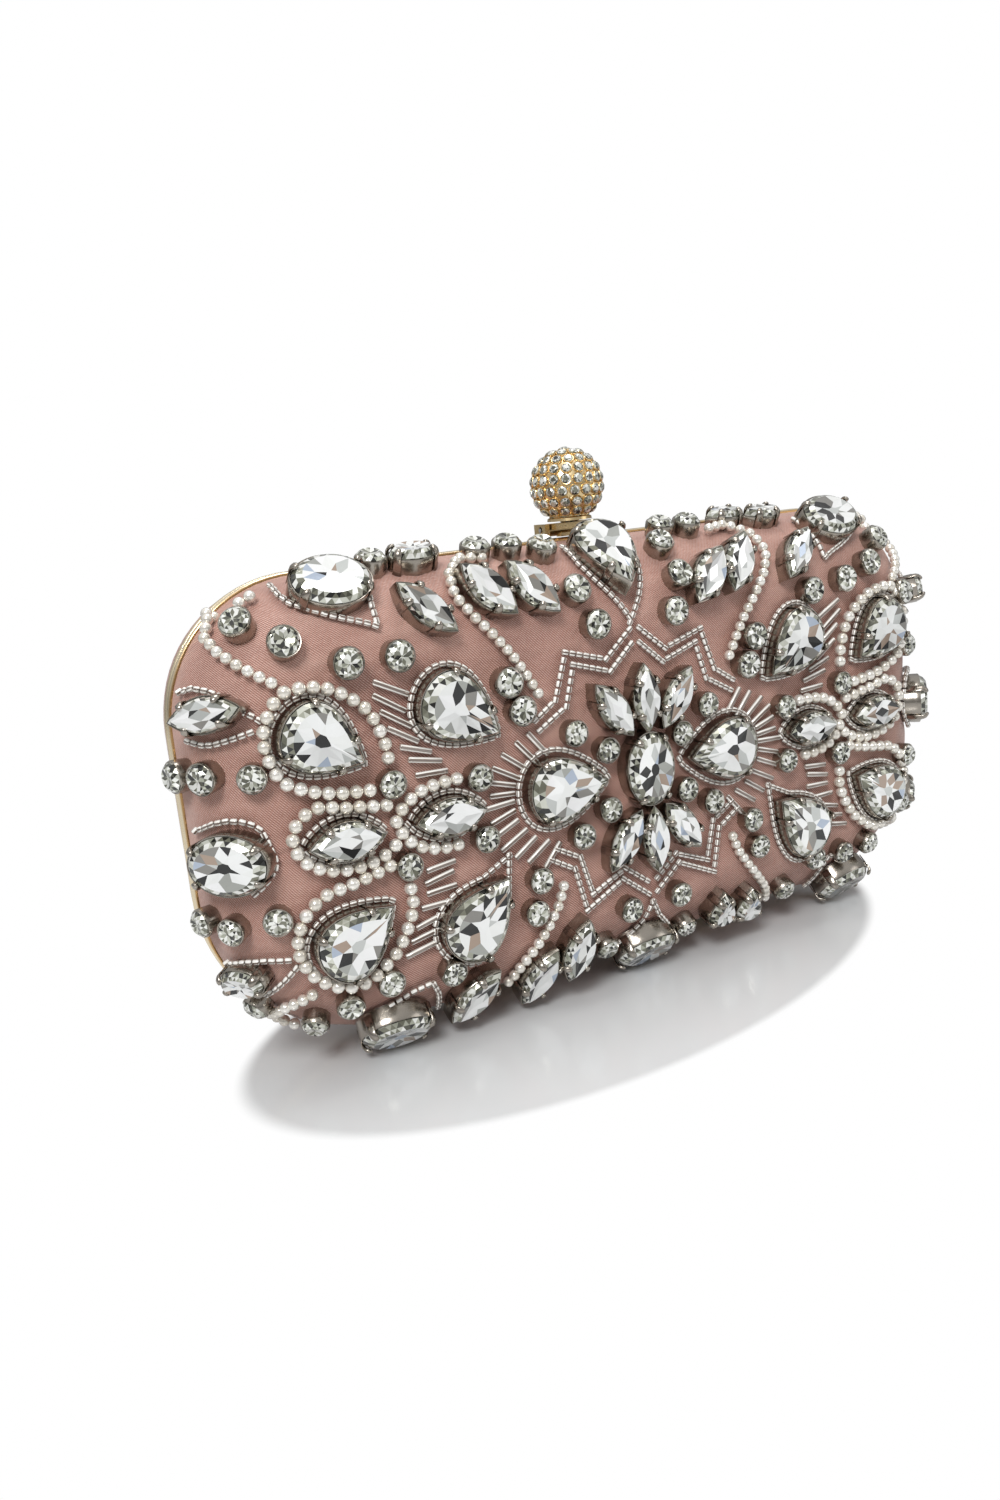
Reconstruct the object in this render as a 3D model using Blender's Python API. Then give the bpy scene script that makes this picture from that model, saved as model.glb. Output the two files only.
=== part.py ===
"""A hard evening clutch: two satin-covered shells in gold frames, hinged along the bottom.

Metres, +Z up, the beaded front faces -Y, and the part stands at the origin.
"""

import math

import bmesh
import bpy
from mathutils import Matrix, Vector

# The case, seen from the front.
HALF_WIDTH = 0.095
UPPER_HEIGHT = 0.0495
LOWER_HEIGHT = 0.0455
UPPER_CORNER = 0.0275
LOWER_CORNER = 0.035

# Each half of the case, from the parting plane outwards.
HALF_DEPTH = 0.0202
ROLL_WIDTH = 0.0171
FACE_SAG = 0.0018
PARTING_GAP = 0.0003
PARTING_SETBACK = 0.0026
FIT_GAP = 0.0003

# The gold frame.
FRAME_DEPTH = 0.0022
FRAME_LIP = 0.0007
FRAME_LAND = 0.003

# The layers of the wall, outside in.
COVER_THICKNESS = 0.0005
SHELL_THICKNESS = 0.001
LINING_THICKNESS = 0.0005

# The two hinges under the frame.
HINGE_PLACE_SHARE = 0.36
KNUCKLE_RADIUS = 0.0011
KNUCKLE_LENGTH = 0.0045
LEAF_THICKNESS = 0.0008
WEB_STEP = 0.0001
HINGE_PIN_RADIUS = 0.0005
PIN_CLEARANCE = 0.0002
PIN_END = 0.0004

# The ball clasp on top of the frame.
BALL_RADIUS = 0.0081
STUD_RADIUS = 0.0013
STUD_LENGTH = 0.0045
LEVER_HALF_LENGTH = 0.005
LEVER_THICKNESS = 0.0013
LEVER_REACH = 0.0029
BARREL_RADIUS = 0.0013
BARREL_SETBACK = 0.0022
CLASP_PIN_RADIUS = 0.0005
EAR_THICKNESS = 0.0012
BASE_BAR_DEPTH = 0.001
BASE_BAR_HEIGHT = 0.0017
CATCH_THICKNESS = 0.0008
CATCH_HALF_LENGTH = 0.004
SPRING_WIRE_RADIUS = 0.0002
SPRING_LENGTH = 0.0018
SPRING_TURNS = 3

# The stones. Each is a foiled crystal in a metal claw cup. They and the beads
# are sized by the room that the case's width and its two heights leave them.
WIDTH_PER_UPPER_HEIGHT = 1.92
WIDTH_PER_LOWER_HEIGHT = 2.09
STONE_ROOM = min(HALF_WIDTH, WIDTH_PER_UPPER_HEIGHT * UPPER_HEIGHT, WIDTH_PER_LOWER_HEIGHT * LOWER_HEIGHT)
CUP_HEIGHT = 0.0034
CROWN_HEIGHT = 0.0015
TABLE_SHARE = 0.6
TEARDROP_LENGTH = 0.1979 * STONE_ROOM
TEARDROP_WIDTH = 0.1432 * STONE_ROOM
RINGED_TEARDROP_LENGTH = 0.1853 * STONE_ROOM
RINGED_TEARDROP_WIDTH = 0.1389 * STONE_ROOM
MARQUISE_LENGTH = 0.1621 * STONE_ROOM
MARQUISE_WIDTH = 0.08 * STONE_ROOM
SMALL_MARQUISE_LENGTH = 0.1558 * STONE_ROOM
SMALL_MARQUISE_WIDTH = 0.0695 * STONE_ROOM
CENTRE_OVAL_LENGTH = 0.1684 * STONE_ROOM
CENTRE_OVAL_WIDTH = 0.1284 * STONE_ROOM
EDGE_OVAL_LENGTH = 0.1684 * STONE_ROOM
EDGE_OVAL_WIDTH = 0.1242 * STONE_ROOM
FOOT_STONE_LENGTH = 0.1632 * STONE_ROOM
FOOT_STONE_WIDTH = 0.1263 * STONE_ROOM
FOOT_FLAT = 0.0004

# The beadwork.
SEED_RADIUS = 0.00842 * STONE_ROOM
PEARL_RADIUS = 0.01421 * STONE_ROOM
STAR_RADIUS = 0.01158 * STONE_ROOM
BEAD_GAP = 0.0002

# How finely curves are cut.
CORNER_STEPS = 5
STRAIGHT_STEPS = 4
ROLL_STEPS = 4
ROUND_SIDES = 16
SMALL_SIDES = 12
SLOPE_STEP_SHARE = 0.0001

# Places on the front. x is a share of the half width. z is a share of the
# upper height where it is positive, and of the lower height where it is not.
# Every place but those on the centre line is used on the left as well.
# A turn is in degrees from +X towards +Z, for the right-hand stone.
TEARDROP_SHARES = (
    ("centre", 0.22, 0.0, 180),
    ("upper", 0.462, 0.41, 217),
    ("lower", 0.464, -0.49, 135),
)
RINGED_TEARDROP_SHARES = (
    ("outer_upper", 0.765, 0.392, 215),
    ("outer_lower", 0.745, -0.43, 148),
)
RINGED_MARQUISE_SHARES = (("outer", 0.744, 0.0, 0),)
SEEDED_MARQUISE_SHARES = (("inner", 0.512, 0.0, 0),)
EDGE_MARQUISE_SHARES = (
    ("side_upper", 0.948, 0.545, 0),
    ("top_outer", 0.507, 0.81, 50),
)
UPPER_PETAL_SHARES = ((-0.088, 0.29, 125), (0.0, 0.314, 90), (0.088, 0.29, 55))
LOWER_PETAL_SHARES = ((-0.082, -0.318, 233), (0.0, -0.35, 270), (0.082, -0.318, 307))
TOP_OVAL_SHARE = (0.68, 0.93)
SIDE_OVAL_SHARE = (0.948, -0.02)
TOP_TEARDROP_SHARE = (-0.02, 0.9)
SIDE_FOOT_SHARE = (0.66, -0.897)
CENTRE_FOOT_SHARE = (0.0, -0.897)
UPPER_STAR_SHARES = ((0.278, 0.307), (0.223, 0.376), (0.188, 0.566), (0.082, 0.507), (0.0, 0.636))
LOWER_STAR_SHARES = ((0.27, -0.33), (0.21, -0.404), (0.186, -0.624), (0.081, -0.521), (0.0, -0.655))
UPPER_STRAND_SHARES = (
    (0.316, 0.957), (0.372, 0.965), (0.418, 0.915), (0.427, 0.84), (0.398, 0.758),
    (0.358, 0.676), (0.322, 0.592), (0.292, 0.5), (0.268, 0.42),
)
LOWER_STRAND_SHARES = (
    (0.247, -0.465), (0.262, -0.545), (0.29, -0.63), (0.324, -0.71), (0.36, -0.79), (0.384, -0.87),
)
STRAND_STEPS = 2

# Heights that follow from the sizes above.
HINGE_AXIS_Z = KNUCKLE_RADIUS
CENTRE_Z = 2 * KNUCKLE_RADIUS + FIT_GAP + FRAME_LIP + LOWER_HEIGHT
FRAME_TOP_Z = CENTRE_Z + UPPER_HEIGHT + FRAME_LIP
WALL_START = FRAME_DEPTH + PARTING_GAP / 2 + FIT_GAP
FRONT = -1
BACK = 1

GOLD = (0.83, 0.62, 0.36)
PINK = (0.66, 0.4, 0.37)
LINING = (0.72, 0.5, 0.45)
BOARD = (0.86, 0.84, 0.8)
CRYSTAL = (0.86, 0.87, 0.88)
PEARL = (0.93, 0.9, 0.84)
SILVER = (0.8, 0.79, 0.77)


def material(name, colour, roughness, metallic):
    """One Principled material under the name of the piece that wears it."""
    made = bpy.data.materials.new(name)
    made.use_nodes = True
    shader = made.node_tree.nodes["Principled BSDF"]
    shader.inputs["Base Color"].default_value = (*colour, 1)
    shader.inputs["Roughness"].default_value = roughness
    shader.inputs["Metallic"].default_value = metallic
    made.diffuse_color = (*colour, 1)
    return made


def carried(made, parent):
    """Hang an object on an empty, and leave it where it is."""
    made.parent = parent
    made.matrix_parent_inverse = Matrix.Translation(-parent.location)


def piece(name, mesh, colour, roughness, metallic, parent):
    """Link a mesh as the named piece. Its points count from the parting plane and the floor."""
    made = bpy.data.objects.new(name, mesh)
    bpy.context.collection.objects.link(made)
    mesh.materials.append(material(name, colour, roughness, metallic))
    carried(made, parent)
    return made


def empty(name, location):
    """An empty that carries pieces. One on a joint's axis carries what turns about it."""
    made = bpy.data.objects.new(name, None)
    bpy.context.collection.objects.link(made)
    made.location = location
    return made


def finish(name, bm, smooth_angle=None):
    """Turn a bmesh into a mesh whose faces point out."""
    bmesh.ops.recalc_face_normals(bm, faces=bm.faces)
    mesh = bpy.data.meshes.new(name)
    bm.to_mesh(mesh)
    bm.free()
    if smooth_angle is not None:
        mesh.shade_smooth()
        mesh.set_sharp_from_angle(angle=math.radians(smooth_angle))
    return mesh


def combine(target, other, operation):
    """Change one piece by another for good, and drop the other."""
    modifier = target.modifiers.new("combine", "BOOLEAN")
    modifier.operation = operation
    modifier.object = other
    bpy.context.view_layer.update()
    graph = bpy.context.evaluated_depsgraph_get()
    mesh = bpy.data.meshes.new_from_object(target.evaluated_get(graph))
    target.modifiers.clear()
    target.data = mesh
    bpy.data.objects.remove(other)


def cut(target, cutter):
    """Take one piece out of another."""
    combine(target, cutter, "DIFFERENCE")


def join(target, other):
    """Make one solid of two."""
    combine(target, other, "UNION")


# The outline and the domed face.

def corner_values(z_sign):
    """Height and corner radius of the upper or the lower half of the outline."""
    if z_sign > 0:
        return UPPER_HEIGHT, UPPER_CORNER
    return LOWER_HEIGHT, LOWER_CORNER


def outline(inset):
    """Points of the case's outline moved in by inset, from the upper right round to the left."""
    points = []
    for x_sign, z_sign, start in ((1, 1, 0), (-1, 1, 90), (-1, -1, 180), (1, -1, 270)):
        height, corner = corner_values(z_sign)
        radius = corner - inset
        centre = Vector((x_sign * (HALF_WIDTH - corner), z_sign * (height - corner)))
        arc = []
        for step in range(CORNER_STEPS + 1):
            angle = math.radians(start + 90 * step / CORNER_STEPS)
            arc.append(centre + radius * Vector((math.cos(angle), math.sin(angle))))
        if points and z_sign > 0 or start == 270:
            for step in range(1, STRAIGHT_STEPS):
                points.append(points[-1].lerp(arc[0], 1 / (STRAIGHT_STEPS - step + 1)))
        elif start == 180:
            points.append((points[-1] + arc[0]) / 2)
        points.extend(arc)
    points.append((points[-1] + points[0]) / 2)
    return points


def inset_at(x, z):
    """How far a place on the front lies inside the outline."""
    height, corner = corner_values(1 if z >= 0 else -1)
    across = abs(x) - (HALF_WIDTH - corner)
    up = abs(z) - (height - corner)
    outside = math.hypot(max(across, 0), max(up, 0))
    return corner - outside - min(max(across, up), 0)


def depth_at(inset, x, layer=0.0):
    """Depth of the wall's surface from the parting plane, a layer's distance under the satin."""
    share = min(max((inset - layer) / (ROLL_WIDTH - layer), 0), 1)
    rise = HALF_DEPTH - layer - WALL_START - FACE_SAG * (x / HALF_WIDTH) ** 2
    return WALL_START + rise * math.sqrt(max(1 - (1 - share) ** 2, 0))


def surface(x, z):
    """The point of the satin's face at a place on the front."""
    return Vector((x, -depth_at(inset_at(x, z), x), CENTRE_Z + z))


def normal(x, z):
    """The way the satin faces there."""
    step = SLOPE_STEP_SHARE * HALF_WIDTH
    along = surface(x + step, z) - surface(x - step, z)
    up = surface(x, z + step) - surface(x, z - step)
    return along.cross(up).normalized()


def place(share_x, share_z):
    """Turn a pair of shares into a place on the front, in metres."""
    height = UPPER_HEIGHT if share_z > 0 else LOWER_HEIGHT
    return share_x * HALF_WIDTH, share_z * height


# The case.

def dome_rings(layer, side):
    """Rings of points up one surface of the wall, from the frame to the face."""
    rings = []
    for step in range(ROLL_STEPS + 1):
        angle = math.radians(90 * step / ROLL_STEPS)
        inset = layer + (ROLL_WIDTH - layer) * (1 - math.cos(angle))
        ring = []
        for point in outline(inset):
            depth = depth_at(inset, point.x, layer)
            ring.append(Vector((point.x, side * depth, CENTRE_Z + point.y)))
        rings.append(ring)
    return rings


def face_strips(bm, ring):
    """Close the face with upright strips, so that it keeps its sag from end to end."""
    span = 2 * (CORNER_STEPS + 1) + STRAIGHT_STEPS - 1
    upper = ring[:span]
    lower = list(reversed(ring[span + 1:-1]))
    for index in range(span - 1):
        bm.faces.new((upper[index], upper[index + 1], lower[index + 1], lower[index]))
    bm.faces.new((upper[-1], ring[span], lower[-1]))
    bm.faces.new((upper[0], lower[0], ring[-1]))


def bridge(bm, first, second):
    """Join two rings of the same length with quads."""
    count = len(first)
    for index in range(count):
        after = (index + 1) % count
        bm.faces.new((first[index], first[after], second[after], second[index]))


def wall(name, layer, thickness, side):
    """One layer of the wall: an open dome with an outer and an inner surface."""
    bm = bmesh.new()
    rims = []
    for depth in (layer, layer + thickness):
        rings = [[bm.verts.new(point) for point in ring] for ring in dome_rings(depth, side)]
        for lower, upper in zip(rings, rings[1:]):
            bridge(bm, lower, upper)
        face_strips(bm, rings[-1])
        rims.append(rings[0])
    bridge(bm, rims[0], rims[1])
    return finish(name, bm, 40)


def frame(name, side):
    """A flat gold ring round the edge of one half."""
    bm = bmesh.new()
    near = side * PARTING_GAP / 2
    far = side * (PARTING_GAP / 2 + FRAME_DEPTH)
    section = ((-FRAME_LIP, near), (-FRAME_LIP, far), (FRAME_LAND, far), (FRAME_LAND, near))
    rings = []
    for inset, depth in section:
        ring = [bm.verts.new((point.x, depth, CENTRE_Z + point.y)) for point in outline(inset)]
        rings.append(ring)
    for index, ring in enumerate(rings):
        bridge(bm, ring, rings[(index + 1) % len(rings)])
    return finish(name, bm, 30)


def case_half(prefix, side, parent):
    """Frame, satin cover, shell and lining of one half."""
    piece(prefix + "_frame", frame(prefix + "_frame", side), GOLD, 0.25, 1.0, parent)
    layer = 0.0
    for part, thickness, colour, roughness in (
        ("cover", COVER_THICKNESS, PINK, 0.6),
        ("shell", SHELL_THICKNESS, BOARD, 0.7),
        ("lining", LINING_THICKNESS, LINING, 0.65),
    ):
        name = prefix + "_" + part
        piece(name, wall(name, layer, thickness, side), colour, roughness, 0.0, parent)
        layer += thickness + FIT_GAP


# Bars, boxes and rods.

def box_mesh(name, low, high):
    """A plain block between two corners."""
    bm = bmesh.new()
    bmesh.ops.create_cube(bm, size=1)
    size = [top - bottom for bottom, top in zip(low, high)]
    middle = [(top + bottom) / 2 for bottom, top in zip(low, high)]
    bmesh.ops.scale(bm, vec=size, verts=bm.verts)
    bmesh.ops.translate(bm, vec=middle, verts=bm.verts)
    return finish(name, bm)


def rod_mesh(name, radius, start, end):
    """A round rod between two points, along one of the axes."""
    run = Vector(end) - Vector(start)
    axes = (Vector((1, 0, 0)), Vector((0, 1, 0)), Vector((0, 0, 1)))
    first, second = [axis for axis in axes if axis.dot(run) == 0]
    bm = bmesh.new()
    rings = []
    for middle in (Vector(start), Vector(end)):
        ring = []
        for step in range(SMALL_SIDES):
            angle = 2 * math.pi * (step + 0.5) / SMALL_SIDES
            ring.append(bm.verts.new(middle + radius * (math.cos(angle) * first + math.sin(angle) * second)))
        bm.faces.new(ring)
        rings.append(ring)
    bridge(bm, *rings)
    return finish(name, bm, 40)


def barrel_mesh(name, radius, bore, start, end, y, z):
    """A short pipe along X."""
    bm = bmesh.new()
    rings = []
    for size, x in ((radius, start), (radius, end), (bore, end), (bore, start)):
        ring = []
        for step in range(SMALL_SIDES):
            angle = 2 * math.pi * (step + 0.5) / SMALL_SIDES
            ring.append(bm.verts.new((x, y + size * math.cos(angle), z + size * math.sin(angle))))
        rings.append(ring)
    for index, ring in enumerate(rings):
        bridge(bm, ring, rings[(index + 1) % len(rings)])
    return finish(name, bm, 40)


def scratch(mesh):
    """An unnamed solid that another one is joined with or cut by."""
    made = bpy.data.objects.new("cutter", mesh)
    bpy.context.collection.objects.link(made)
    made.display_type = "WIRE"
    made.hide_render = True
    return made


# The hinges.

def hinge(suffix, middle, case, front):
    """Two leaves with three knuckles between them, and the pin that runs through."""
    run = KNUCKLE_LENGTH
    gap = FIT_GAP
    bore = HINGE_PIN_RADIUS + PIN_CLEARANCE
    total = 1.5 * run + gap
    leaf_top = CENTRE_Z - LOWER_HEIGHT - FRAME_LIP - FIT_GAP
    leaf_low = leaf_top - LEAF_THICKNESS
    leaf_far = PARTING_GAP / 2 + FRAME_DEPTH
    spans = {
        BACK: ((-total, -run / 2 - gap), (run / 2 + gap, total)),
        FRONT: ((-run / 2, run / 2),),
    }
    for side, word, parent in ((BACK, "back", case), (FRONT, "front", front)):
        name = "hinge_leaf_" + word + "_" + suffix
        near = side * (KNUCKLE_RADIUS + gap)
        far = side * leaf_far
        low = (middle - total, min(near, far), leaf_low)
        high = (middle + total, max(near, far), leaf_top)
        made = piece(name, box_mesh(name, low, high), GOLD, 0.3, 1.0, parent)
        wall_middle = side * (bore + KNUCKLE_RADIUS) / 2
        for start, end in spans[side]:
            web_low = (middle + start + WEB_STEP, min(wall_middle, near + side * gap), leaf_low + WEB_STEP)
            web_high = (middle + end - WEB_STEP, max(wall_middle, near + side * gap), leaf_top - WEB_STEP)
            join(made, scratch(box_mesh("web", web_low, web_high)))
            barrel = barrel_mesh("barrel", KNUCKLE_RADIUS, bore, middle + start, middle + end, 0, HINGE_AXIS_Z)
            join(made, scratch(barrel))
    name = "hinge_pin_" + suffix
    ends = total + PIN_END
    pin = rod_mesh(
        name, HINGE_PIN_RADIUS,
        (middle - ends, 0, HINGE_AXIS_Z), (middle + ends, 0, HINGE_AXIS_Z),
    )
    piece(name, pin, SILVER, 0.3, 1.0, case)


# The clasp.

def clasp(case, front):
    """A ball on a sprung lever, which turns between two ears on the back frame."""
    bore = CLASP_PIN_RADIUS + FIT_GAP
    pivot_z = FRAME_TOP_Z + 2 * FIT_GAP + BARREL_RADIUS
    pivot = empty("clasp_axis", (0, BARREL_SETBACK, pivot_z))
    carried(pivot, case)
    ear_in = LEVER_HALF_LENGTH + FIT_GAP
    ear_out = ear_in + EAR_THICKNESS
    ear_top = pivot_z + BARREL_RADIUS
    bar_near = BARREL_SETBACK + BARREL_RADIUS + FIT_GAP
    bar_far = bar_near + BASE_BAR_DEPTH
    foot = FRAME_TOP_Z + FIT_GAP

    def through(low_x, high_x, radius, name):
        return rod_mesh(name, radius, (low_x, BARREL_SETBACK, pivot_z), (high_x, BARREL_SETBACK, pivot_z))

    base = piece(
        "clasp_base",
        box_mesh("clasp_base", (-ear_out, bar_near, foot), (ear_out, bar_far, foot + BASE_BAR_HEIGHT)),
        GOLD, 0.25, 1.0, case,
    )
    for low_x, high_x in ((-ear_out, -ear_in), (ear_in, ear_out)):
        ear_low = (low_x, PARTING_GAP, foot)
        ear = box_mesh("ear", ear_low, (high_x, bar_far, ear_top))
        join(base, scratch(ear))
    cut(base, scratch(through(-ear_out - PIN_END, ear_out + PIN_END, bore, "hole")))
    reach = ear_out + PIN_END / 2
    piece("clasp_pivot_pin", through(-reach, reach, CLASP_PIN_RADIUS, "clasp_pivot_pin"), SILVER, 0.3, 1.0, case)

    spring_room = SPRING_LENGTH + 2 * FIT_GAP
    plate_top = pivot_z + BARREL_RADIUS
    plate_low = plate_top - LEVER_THICKNESS
    lever = piece(
        "clasp_lever",
        box_mesh(
            "clasp_lever",
            (-LEVER_HALF_LENGTH, -LEVER_REACH, plate_low),
            (LEVER_HALF_LENGTH - spring_room, BARREL_SETBACK, plate_top),
        ),
        GOLD, 0.25, 1.0, pivot,
    )
    join(lever, scratch(through(-LEVER_HALF_LENGTH, LEVER_HALF_LENGTH - spring_room, BARREL_RADIUS, "barrel")))
    cut(lever, scratch(through(-ear_out, ear_out, bore, "hole")))
    stud_top = plate_top + FIT_GAP + STUD_LENGTH
    stud = rod_mesh("stud", STUD_RADIUS, (0, 0, plate_top - LEVER_THICKNESS / 2), (0, 0, stud_top))
    join(lever, scratch(stud))

    ball_z = plate_top + FIT_GAP + BALL_RADIUS
    bm = bmesh.new()
    bmesh.ops.create_icosphere(bm, subdivisions=3, radius=BALL_RADIUS)
    bmesh.ops.translate(bm, vec=(0, 0, ball_z), verts=bm.verts)
    ball = piece("clasp_ball", finish("clasp_ball", bm, 60), GOLD, 0.3, 1.0, pivot)
    socket_top = stud_top + FIT_GAP
    socket = rod_mesh("socket", STUD_RADIUS + FIT_GAP, (0, 0, plate_low), (0, 0, socket_top))
    cut(ball, scratch(socket))

    start_x = LEVER_HALF_LENGTH - SPRING_LENGTH - FIT_GAP
    coil_radius = bore + SPRING_WIRE_RADIUS
    turns = []
    for step in range(SPRING_TURNS * SMALL_SIDES + 1):
        angle = 2 * math.pi * step / SMALL_SIDES
        share = step / (SPRING_TURNS * SMALL_SIDES)
        x = start_x + SPRING_WIRE_RADIUS + share * (SPRING_LENGTH - 2 * SPRING_WIRE_RADIUS)
        y = BARREL_SETBACK + coil_radius * math.cos(angle)
        turns.append((x, y, pivot_z + coil_radius * math.sin(angle)))
    tube("clasp_spring", turns, SPRING_WIRE_RADIUS, SILVER, 0.3, 1.0, case)

    catch_low = (-CATCH_HALF_LENGTH, -FRAME_DEPTH, foot)
    catch_high = (CATCH_HALF_LENGTH, -PARTING_GAP, foot + CATCH_THICKNESS)
    piece("catch_plate", box_mesh("catch_plate", catch_low, catch_high), GOLD, 0.25, 1.0, front)


# Stones and beads.

def oval(length, width):
    """Corner points of an oval, longest along its own x."""
    points = []
    for step in range(ROUND_SIDES):
        angle = 2 * math.pi * step / ROUND_SIDES
        points.append(Vector((length / 2 * math.cos(angle), width / 2 * math.sin(angle))))
    return points


def teardrop(length, width):
    """A teardrop whose point is at +x: sin(t) * sin(t / 2) swells towards its round end."""
    fullest = 4 / (3 * math.sqrt(3))
    points = []
    for step in range(ROUND_SIDES):
        angle = 2 * math.pi * step / ROUND_SIDES
        swell = math.sin(angle) * math.sin(angle / 2) / fullest
        points.append(Vector((length / 2 * math.cos(angle), width / 2 * swell)))
    return points


def marquise(length, width):
    """A pointed oval between two arcs."""
    half = SMALL_SIDES // 2
    points = []
    for step in range(SMALL_SIDES):
        share = 1 - 2 * (step % half) / half
        side = 1 if step < half else -1
        points.append(Vector((side * share * length / 2, side * (1 - share ** 2) * width / 2)))
    return points


def spread(points, distance):
    """Move an outline's points outwards, square to its run."""
    count = len(points)
    moved = []
    for index, point in enumerate(points):
        run = points[(index + 1) % count] - points[index - 1]
        moved.append(point + distance * Vector((run.y, -run.x)).normalized())
    return moved


def ring_rise(start, radius):
    """Offsets and heights over one round bead row, from its outer foot to its inner side."""
    middle = start + radius
    return ((middle + radius, radius), (middle, 2 * radius), (start, radius))


def seeded():
    """The skirt of a stone that one row of seed beads goes round."""
    foot = ((BEAD_GAP + 2 * SEED_RADIUS, 0.0),)
    return foot + ring_rise(BEAD_GAP, SEED_RADIUS)


def pearled():
    """The skirt of a stone with a row of seed beads and a row of pearls round it."""
    start = BEAD_GAP + 2 * SEED_RADIUS
    foot = ((start + 2 * PEARL_RADIUS, 0.0),)
    return foot + ring_rise(start, PEARL_RADIUS) + ring_rise(BEAD_GAP, SEED_RADIUS)[1:]


def stone_mesh(name, shape, x, z, turn, skirt=(), cup=CUP_HEIGHT, crown=CROWN_HEIGHT, floor=None):
    """A cup and its crystal, square to the satin, with its bead rows laid on the satin."""
    up = normal(x, z)
    seat = surface(x, z) + FIT_GAP * up
    angle = math.radians(turn)
    along = Vector((math.cos(angle), 0, math.sin(angle)))
    along = (along - along.dot(up) * up).normalized()
    across = up.cross(along)

    def rigid(scale, height):
        return [seat + scale * (point.x * along + point.y * across) + height * up for point in shape]

    def laid(distance, height):
        ring = []
        for point in spread(shape, distance):
            flat = seat + point.x * along + point.y * across
            lift = (FIT_GAP + height) * normal(flat.x, flat.z - CENTRE_Z)
            ring.append(surface(flat.x, flat.z - CENTRE_Z) + lift)
        return ring

    rings = [rigid(1, 0)]
    for distance, height in skirt:
        rings.append(laid(distance, height))
    rings.append(rigid(1, SEED_RADIUS) if skirt else rigid(1, cup / 2))
    rings.append(rigid(1, cup))
    rings.append(rigid(TABLE_SHARE, cup + crown))
    bm = bmesh.new()
    made = [[bm.verts.new(point) for point in ring] for ring in rings]
    for lower, upper in zip(made, made[1:]):
        bridge(bm, lower, upper)
    bm.faces.new(made[0])
    bm.faces.new(made[-1])
    if floor is not None:
        parts = bm.verts[:] + bm.edges[:] + bm.faces[:]
        sliced = bmesh.ops.bisect_plane(
            bm, geom=parts, plane_co=(0, 0, floor), plane_no=(0, 0, -1), clear_outer=True,
        )
        edges = [part for part in sliced["geom_cut"] if isinstance(part, bmesh.types.BMEdge)]
        bmesh.ops.holes_fill(bm, edges=edges)
    return finish(name, bm, 25)


def stone(name, shape, shares, turn, parent, **options):
    """Place a stone by its shares of the case's size."""
    x, z = place(*shares)
    return piece(name, stone_mesh(name, shape, x, z, turn, **options), CRYSTAL, 0.08, 0.2, parent)


def mirrored(name, shape, shares, turn, parent, **options):
    """The same stone on the right and on the left."""
    stone(name + "_right", shape, shares, turn, parent, **options)
    stone(name + "_left", shape, (-shares[0], shares[1]), 180 - turn, parent, **options)


def foot_cup_height(shares):
    """How tall a bottom stone's cup is, so that its lower rim just reaches the floor."""
    x, z = place(*shares)
    up = normal(x, z)
    seat = surface(x, z) + FIT_GAP * up
    rim = FOOT_STONE_WIDTH / 2 * math.sqrt(1 - up.z ** 2)
    return (seat.z - rim + FOOT_FLAT) / -up.z


def tube(name, points, radius, colour, roughness, metallic, parent):
    """A round strand along the points."""
    curve = bpy.data.curves.new(name, "CURVE")
    curve.dimensions = "3D"
    curve.bevel_depth = radius
    curve.bevel_resolution = 1
    curve.use_fill_caps = True
    spline = curve.splines.new("POLY")
    spline.points.add(len(points) - 1)
    for target, point in zip(spline.points, points):
        target.co = (*point, 1)
    made = bpy.data.objects.new(name, curve)
    bpy.context.collection.objects.link(made)
    curve.materials.append(material(name, colour, roughness, metallic))
    carried(made, parent)


def curved(shares, steps):
    """A smooth run of places through the shares, by Catmull and Rom's formula."""
    points = [Vector(place(*pair)) for pair in shares]
    ends = [2 * points[0] - points[1]] + points + [2 * points[-1] - points[-2]]
    run = []
    for before, start, end, after in zip(ends, ends[1:], ends[2:], ends[3:]):
        for step in range(steps):
            part = step / steps
            run.append(0.5 * (
                2 * start + part * (end - before)
                + part ** 2 * (2 * before - 5 * start + 4 * end - after)
                + part ** 3 * (3 * start - before - 3 * end + after)
            ))
    run.append(points[-1])
    return run


def strand(name, places, radius, colour, metallic, parent):
    """A row of beads laid on the satin."""
    points = []
    for spot in places:
        points.append(surface(spot.x, spot.y) + (FIT_GAP + radius) * normal(spot.x, spot.y))
    tube(name, points, radius, colour, 0.25, metallic, parent)


def beadwork(parent):
    """The zigzag star round the centre, and the four strands of pearls that leave it."""
    for word, shares in (("upper", UPPER_STAR_SHARES), ("lower", LOWER_STAR_SHARES)):
        left = [(-share_x, share_z) for share_x, share_z in reversed(shares[:-1])]
        places = []
        for pair, after in zip(shares + tuple(left), (shares + tuple(left))[1:]):
            start = Vector(place(*pair))
            places.extend((start, start.lerp(Vector(place(*after)), 0.5)))
        places.append(Vector(place(*left[-1])))
        strand("star_trim_" + word, places, STAR_RADIUS, SILVER, 0.6, parent)
    for word, shares in (("upper", UPPER_STRAND_SHARES), ("lower", LOWER_STRAND_SHARES)):
        for suffix, side in (("right", 1), ("left", -1)):
            pairs = [(side * share_x, share_z) for share_x, share_z in shares]
            name = "pearl_strand_" + word + "_" + suffix
            strand(name, curved(pairs, STRAND_STEPS), PEARL_RADIUS, PEARL, 0.0, parent)


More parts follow.
